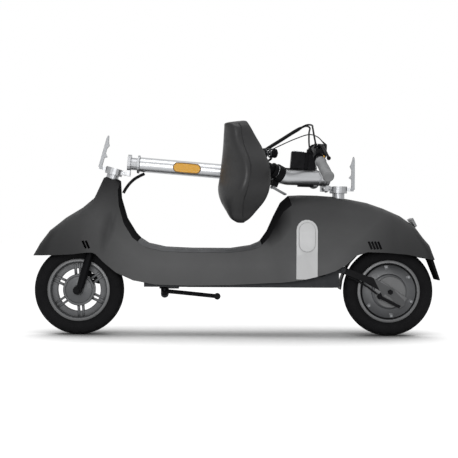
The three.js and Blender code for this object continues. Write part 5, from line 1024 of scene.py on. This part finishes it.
# %% Sleeve and boot
SLEEVE_FROM, SLEEVE_TO, SLEEVE_RINGS, SLEEVE_SIDES = 44, 82, 77, 32
SLEEVE_MARGIN, SLEEVE_HALF_HEIGHT, WEAVE_DEPTH = 0.0046, 0.0062, 0.04
covered = curve_points(left_route, CABLE_RINGS)[SLEEVE_FROM:SLEEVE_TO]
run = curve_points([Vector((p.x, 0, p.z)) for p in covered], SLEEVE_RINGS)
bm = bmesh.new()
rings = []
for i, place in enumerate(run):
    share = i / (SLEEVE_RINGS - 1)
    beside = abs(covered[round(share * (len(covered) - 1))].y)
    along = (run[min(i + 1, SLEEVE_RINGS - 1)] - run[max(i - 1, 0)]).normalized()
    swell = min(1, 4 * share + 0.75, 4 * (1 - share) + 0.75) - (WEAVE_DEPTH if i % 2 else 0)
    size = Matrix.Diagonal((beside + SLEEVE_MARGIN, SLEEVE_HALF_HEIGHT, 1, 1))
    turn = Matrix((Y_AXIS, along.cross(Y_AXIS), along)).transposed().to_4x4()
    matrix = Matrix.Translation(place) @ turn @ size
    made = bmesh.ops.create_circle(bm, segments=SLEEVE_SIDES, radius=swell, matrix=matrix)
    rings.append(made["verts"])
bridge(bm, rings)
sleeve = piece("brake_cable_sleeve", bm, CABLE, "stem", angle=60)
make_cable("brake_cable_left_sheath", left_route, 0.003, "stem", "brake_cable_left")

BOOT_RINGS, BOOT_R, BOOT_GROWTH, BOOT_RIB = 7, 0.0022, 0.0003, 0.0004
bm = bmesh.new()
boot_route = [stem_point(655 + 2.5 * i, 133.7 - 2.05 * i) for i in range(BOOT_RINGS)]
boot_radii = [BOOT_R + BOOT_GROWTH * i - (BOOT_RIB if i % 2 else 0) for i in range(BOOT_RINGS)]
tube(bm, boot_route, boot_radii, 24)
boot = piece("control_lead_boot", bm, CABLE, "stem", angle=50)
make_cable("control_lead_sheath", lead_route, 0.0018, "stem", "control_lead")

# %% [markdown]
# ## The saddle's cushion
# The cushion is foam under a stretched cover, widest past its middle and drawn in at both ends.
# Simulated cloth wouldn't keep so definite an outline, so arcs are drawn in rows and subdivided.

# %% Saddle rows
# Each row: its place from tail to nose, then its half width, its height and the drop of its skirt
SADDLE_ROWS = [
    (-1.00, 0.22, 1.21, 0.52), (-0.88, 0.42, 1.14, 0.46), (-0.67, 0.50, 1.13, 0.26),
    (-0.48, 0.62, 1.10, 0.10), (-0.15, 0.92, 1.03, -0.04), (0.11, 1.00, 1.06, -0.06),
    (0.34, 0.94, 1.15, -0.05), (0.565, 0.70, 1.16, 0.01), (0.80, 0.38, 1.02, 0.23),
    (0.92, 0.24, 0.90, 0.38), (1.00, 0.12, 0.70, 0.54),
]
SADDLE_X, SADDLE_HALF_LENGTH, SADDLE_HALF_WIDTH = 50, 168, 88
SADDLE_SKIRT, SADDLE_DEPTH, SADDLE_LEAN = 286, 100, 9
CROWN_DROP, CROWN_RISE, ARC_STEPS = 14, 26, 8


def row_at(along):
    """Width, rise and drop shares at a place, on a smooth curve through the rows."""
    rows = SADDLE_ROWS
    k = max(i for i in range(len(rows) - 1) if rows[i][0] <= along + 1e-9)
    a, b = rows[k], rows[k + 1]
    before, after = rows[max(k - 1, 0)], rows[min(k + 2, len(rows) - 1)]
    span = b[0] - a[0]
    u = (along - a[0]) / span
    out = []
    for j in (1, 2, 3):
        slope_a = (b[j] - before[j]) / (b[0] - before[0])
        slope_b = (after[j] - a[j]) / (after[0] - a[0])
        h = (2 * u**3 - 3 * u**2 + 1) * a[j] + (u**3 - 2 * u**2 + u) * span * slope_a
        h += (-2 * u**3 + 3 * u**2) * b[j] + (u**3 - u**2) * span * slope_b
        out.append(h)
    return out


def saddle_ring(along):
    """One closed ring of places round the cushion, which closes in as it nears either end."""
    width, rise, drop = row_at(along)
    top = SADDLE_SKIRT + SADDLE_DEPTH * rise * 0.9
    skirt = SADDLE_SKIRT + SADDLE_DEPTH * drop
    middle = (top + skirt) / 2
    rounded = 0.035 if along < 0 else 0.08
    end = max(0.0, (abs(along) - 1 + rounded) / rounded)
    close = math.sqrt(max(1 - end * end, 0.0))
    reach = SADDLE_HALF_WIDTH * width * (0.4 + 0.6 * close)
    ceiling = max(SADDLE_SKIRT + 46, skirt + 10)
    half = []
    for i in range(ARC_STEPS + 1):
        angle = i / ARC_STEPS * math.pi / 2
        up = top - CROWN_DROP + CROWN_RISE * math.cos(angle) ** 0.75
        half.append((reach * math.sin(angle) ** 0.85, up))
    half += [(reach, top - 20), (reach * 0.985, middle), (reach * 0.94, skirt + 6)]
    half += [(reach * 0.90, skirt), (reach * 0.84, skirt), (reach * 0.80, skirt + 6)]
    half.append((reach * 0.78, ceiling))
    whole = half + [(0, ceiling)] + [(-y, z) for y, z in half[:0:-1]]
    squeeze = 0.7 + 0.3 * close
    x = SADDLE_X - SADDLE_HALF_LENGTH * along
    lean = SADDLE_LEAN * max(0.0, -along) ** 4
    places = []
    for y, z in whole:
        up = middle + (z - middle) * squeeze
        places.append(seat_point(x - lean * (up - skirt) / (top - skirt), y, up))
    return places


print("rows:", len(SADDLE_ROWS))

# %% Saddle cushion and piping
ROWS, PIPING_STEPS = 72, 60
FIRST_SIDE_POINT = ARC_STEPS + 1
bm = bmesh.new()
rings = []
for i in range(ROWS + 1):
    even = 2 * i / ROWS - 1
    along = 0.5 * -math.cos(math.pi * i / ROWS) + 0.5 * even
    rings.append([bm.verts.new(p) for p in saddle_ring(max(-0.9999, min(0.9999, along)))])
bridge(bm, rings)
cushion = piece("saddle_cushion_padded", bm, VINYL, "saddle", angle=80, node="saddle_cushion")
level = cushion.modifiers.new("soften", "SUBSURF")
level.levels = level.render_levels = 1

# Piping is sewn in where the top meets the sides, paler than the vinyl to paint the ridge's highlight
bm = bmesh.new()
for index in (FIRST_SIDE_POINT, -FIRST_SIDE_POINT):
    seam = [saddle_ring(-0.95 + 1.85 * i / PIPING_STEPS)[index] for i in range(PIPING_STEPS + 1)]
    tube(bm, seam, 0.0019, 12)
piece("saddle_piping", bm, PIPING_HIGHLIGHT, "saddle", angle=60)
print("cushion faces:", len(cushion.data.polygons))

# %% [markdown]
# ## Saddle springs
# Two coil springs carry the back of the saddle: round wire in a helix, its ends led to their seats. A
# loop works out the helix.

# %% Saddle springs
SPRING_LOW, SPRING_HIGH, SPRING_X, SPRING_Y = 241.3, 327.7, 112, 32
WIRE, COIL_RADIUS, LEAD_IN, CURLS, CURL_STEPS = 2.5, 13.0, 5.0, 5, 40


def coil(name, side, node):
    """A coil spring of round wire under the cushion, in the seat's own millimetres."""
    height = SPRING_HIGH - SPRING_LOW
    wound = height - 2 * LEAD_IN - 2 * WIRE
    steps = CURLS * CURL_STEPS
    places = [(COIL_RADIUS, 0, 0)]
    for i in range(steps + 1):
        angle = i / CURL_STEPS * 2 * math.pi
        rise = LEAD_IN + WIRE + wound * i / steps
        places.append((COIL_RADIUS * math.cos(angle), COIL_RADIUS * math.sin(angle), rise))
    places.append((COIL_RADIUS, 0, height))
    wire = [seat_point(SPRING_X + x, side * SPRING_Y + y, SPRING_LOW + z) for x, y, z in places]
    bm = bmesh.new()
    tube(bm, wire, WIRE / 1000, 14)
    piece(name, bm, SPRING_STEEL, "saddle", angle=60, node=node)
    return length_of(wire)


coil("saddle_spring_left_wound", -1, "saddle_spring_left")
wire_length = coil("saddle_spring_right_wound", 1, "saddle_spring_right")
print("wire in a spring:", round(wire_length, 3))

# %% [markdown]
# ## Bolts, collars and the rest
# The swing arm turns on a bolt with a head on each side. Two collars grip the seat tube's foot, and a
# rubber rest lies along it.

# %% Bolts, collars and rest
ARM_PIVOT = Vector(JOINTS["swingarm_travel"]["pos_m"])
BOLT_Y, COLLARS_AT = 0.0655, (22, 44)
bm = bmesh.new()
for side in (-1, 1):
    bolt(bm, ARM_PIVOT + Y_AXIS * side * BOLT_Y, Y_AXIS * side, 0.0075, 0.006)
piece("swingarm_bolts", bm, STEEL, "chassis")

COLLAR_SECTION = [
    (0.0240, 0), (0.0268, 0), (0.0276, 0.0008), (0.0276, 0.0042), (0.0268, 0.005), (0.0240, 0.005),
]
bm = bmesh.new()
for along in COLLARS_AT:
    spin_profile(bm, COLLAR_SECTION, seat_point(TUBE_X, 0, along), SEAT_UP, 64)
piece("seat_tube_collars", bm, MACHINED, "seat_post")

rest_turn = Matrix((SEAT_UP, SEAT_SIDE, -Z_AXIS)).transposed().to_4x4()
rest_place = Matrix.Translation(seat_point(8.5, 0, 92)) @ rest_turn
bm = bmesh.new()
box(bm, (0, 0, 0), (0.058, 0.016, 0.006), rest_place, bevel=0.0015)
piece("seat_tube_rest", bm, BLACK_PLASTIC, "seat_post")
print("bolts, collars and rest made")

# %% [markdown]
# ## Bracket, reflector frames and vent shade
# A bracket holds the headlight to the bar's mount, and a thin tube frames each reflector. Dark sheets
# close the rear vents as painted shade for the inside, so that no light shows through.

# %% Bracket, frames and vent shade
stem_turn = Matrix((STEM_ALONG, Y_AXIS, STEM_FRONT)).transposed().to_4x4()
bracket_place = Matrix.Translation(stem_point(606.5, 59)) @ stem_turn
bm = bmesh.new()
box(bm, (0, 0, 0), (0.015, 0.034, 0.060), bracket_place, bevel=0.002)
piece("headlight_bracket", bm, BLACK_PLASTIC, "stem")

REFLECTOR_ALONG, REFLECTOR_HALF, REFLECTOR_END, REFLECTOR_Y = 204, 46, 16, 31.6
STRAIGHT, RIM_STEPS = REFLECTOR_HALF - REFLECTOR_END, 48
bm = bmesh.new()
for side in (-1, 1):
    rim = []
    for i in range(RIM_STEPS + 1):
        angle = i / RIM_STEPS * 2 * math.pi
        shift = STRAIGHT * max(-1, min(1, 3 * math.cos(angle)))
        along = REFLECTOR_ALONG + shift + REFLECTOR_END * math.cos(angle)
        rim.append(stem_point(along, REFLECTOR_END * math.sin(angle), side * REFLECTOR_Y))
    tube(bm, rim, 0.0016, 12)
piece("reflector_frames", bm, BRONZE, "stem")

# Black sheets behind the rear vents, painted shade for the inside of the body
bm = bmesh.new()
for side in (-1, 1):
    box(bm, (0.459, side * 0.108, 0.310), (0.066, 0.002, 0.040), bevel=0.0006)
piece("vent_shade_sheets_rear", bm, BLACK_PLASTIC, "chassis")
print("bracket, frames and linings made")

# %% [markdown]
# ## Floor and world
# The photograph has a pure white ground and a soft shadow. The camera and reflections see a white floor
# and world that give little light, so that blacks stay deep. Ambient occlusion makes the shadow.

# %% Floor and world
FLOOR_HALF, FLOOR_GREY, FLOOR_FADE, FLOOR_GLOW = 20, 0.4, (0.9, 2.6), (0.95, 1.0)
SHADOW_REACH, SHADOW_RANGE, WORLD_LIGHT = 0.8, (0.43, 0.86), 0.17
bm = bmesh.new()
bmesh.ops.create_grid(bm, x_segments=2, y_segments=2, size=FLOOR_HALF)
floor_mesh = bpy.data.meshes.new("floor")
bm.to_mesh(floor_mesh)
bm.free()
floor = bpy.data.objects.new("floor", floor_mesh)
bpy.context.scene.collection.objects.link(floor)
floor_surface = bpy.data.materials.new("floor_white")
floor_surface.use_nodes = True
ground = Nodes(floor_surface.node_tree)
ground.tree.nodes.clear()
distance = ground.node("ShaderNodeVectorMath", operation="LENGTH")
ground.feed(distance.inputs[0], ground.node("ShaderNodeTexCoord").outputs["Object"])
far = ground.spread(distance.outputs["Value"], *FLOOR_GLOW, *FLOOR_FADE)
open_sky = ground.node("ShaderNodeAmbientOcclusion", samples=12)
open_sky.inputs["Distance"].default_value = SHADOW_REACH
shade = ground.spread(open_sky.outputs["AO"], 0, 1, *SHADOW_RANGE)
lit = ground.math("MULTIPLY", ground.seen_directly(), shade)
glow = ground.node("ShaderNodeEmission")
ground.feed(glow.inputs["Strength"], ground.math("MULTIPLY", lit, far))
diffuse = ground.node("ShaderNodeBsdfDiffuse")
diffuse.inputs["Color"].default_value = (FLOOR_GREY, FLOOR_GREY, FLOOR_GREY, 1)
add = ground.node("ShaderNodeAddShader")
ground.feed(add.inputs[0], diffuse.outputs[0])
ground.feed(add.inputs[1], glow.outputs[0])
ground.feed(ground.node("ShaderNodeOutputMaterial").inputs["Surface"], add.outputs[0])
floor_mesh.materials.append(floor_surface)

world = bpy.data.worlds.new("studio")
bpy.context.scene.world = world
world.use_nodes = True
sky = Nodes(world.node_tree)
background = sky.tree.nodes["Background"]
background.inputs["Color"].default_value = (1, 1, 1, 1)
sky.feed(background.inputs["Strength"], sky.spread(sky.seen_directly(), WORLD_LIGHT, 1, 0, 1))
print("floor and world ready")

# %% [markdown]
# ## Lamps
# A large lamp by the camera lights the near side, a weaker one fills the rear and one overhead picks
# out the stem. Large lamps give soft edges, as a softbox does.

# %% Lamps


def lamp(name, place, target, size, power):
    data = bpy.data.lights.new(name, "AREA")
    data.shape = "RECTANGLE"
    data.size, data.size_y = size
    data.energy = power
    made = bpy.data.objects.new(name, data)
    made.location = place
    aim = Vector(target) - Vector(place)
    made.rotation_euler = aim.to_track_quat("-Z", "Y").to_euler()
    bpy.context.scene.collection.objects.link(made)


lamp("key", (-0.5, -3.9, 0.9), (0, 0, 0.3), (2.0, 1.2), 50)
lamp("fill", (0.9, -3.8, 0.6), (0, 0, 0.3), (1.4, 1.0), 12)
lamp("top", (0.1, -0.8, 3.3), (0, 0, 0.2), (2.6, 1.4), 34)
print("studio ready")
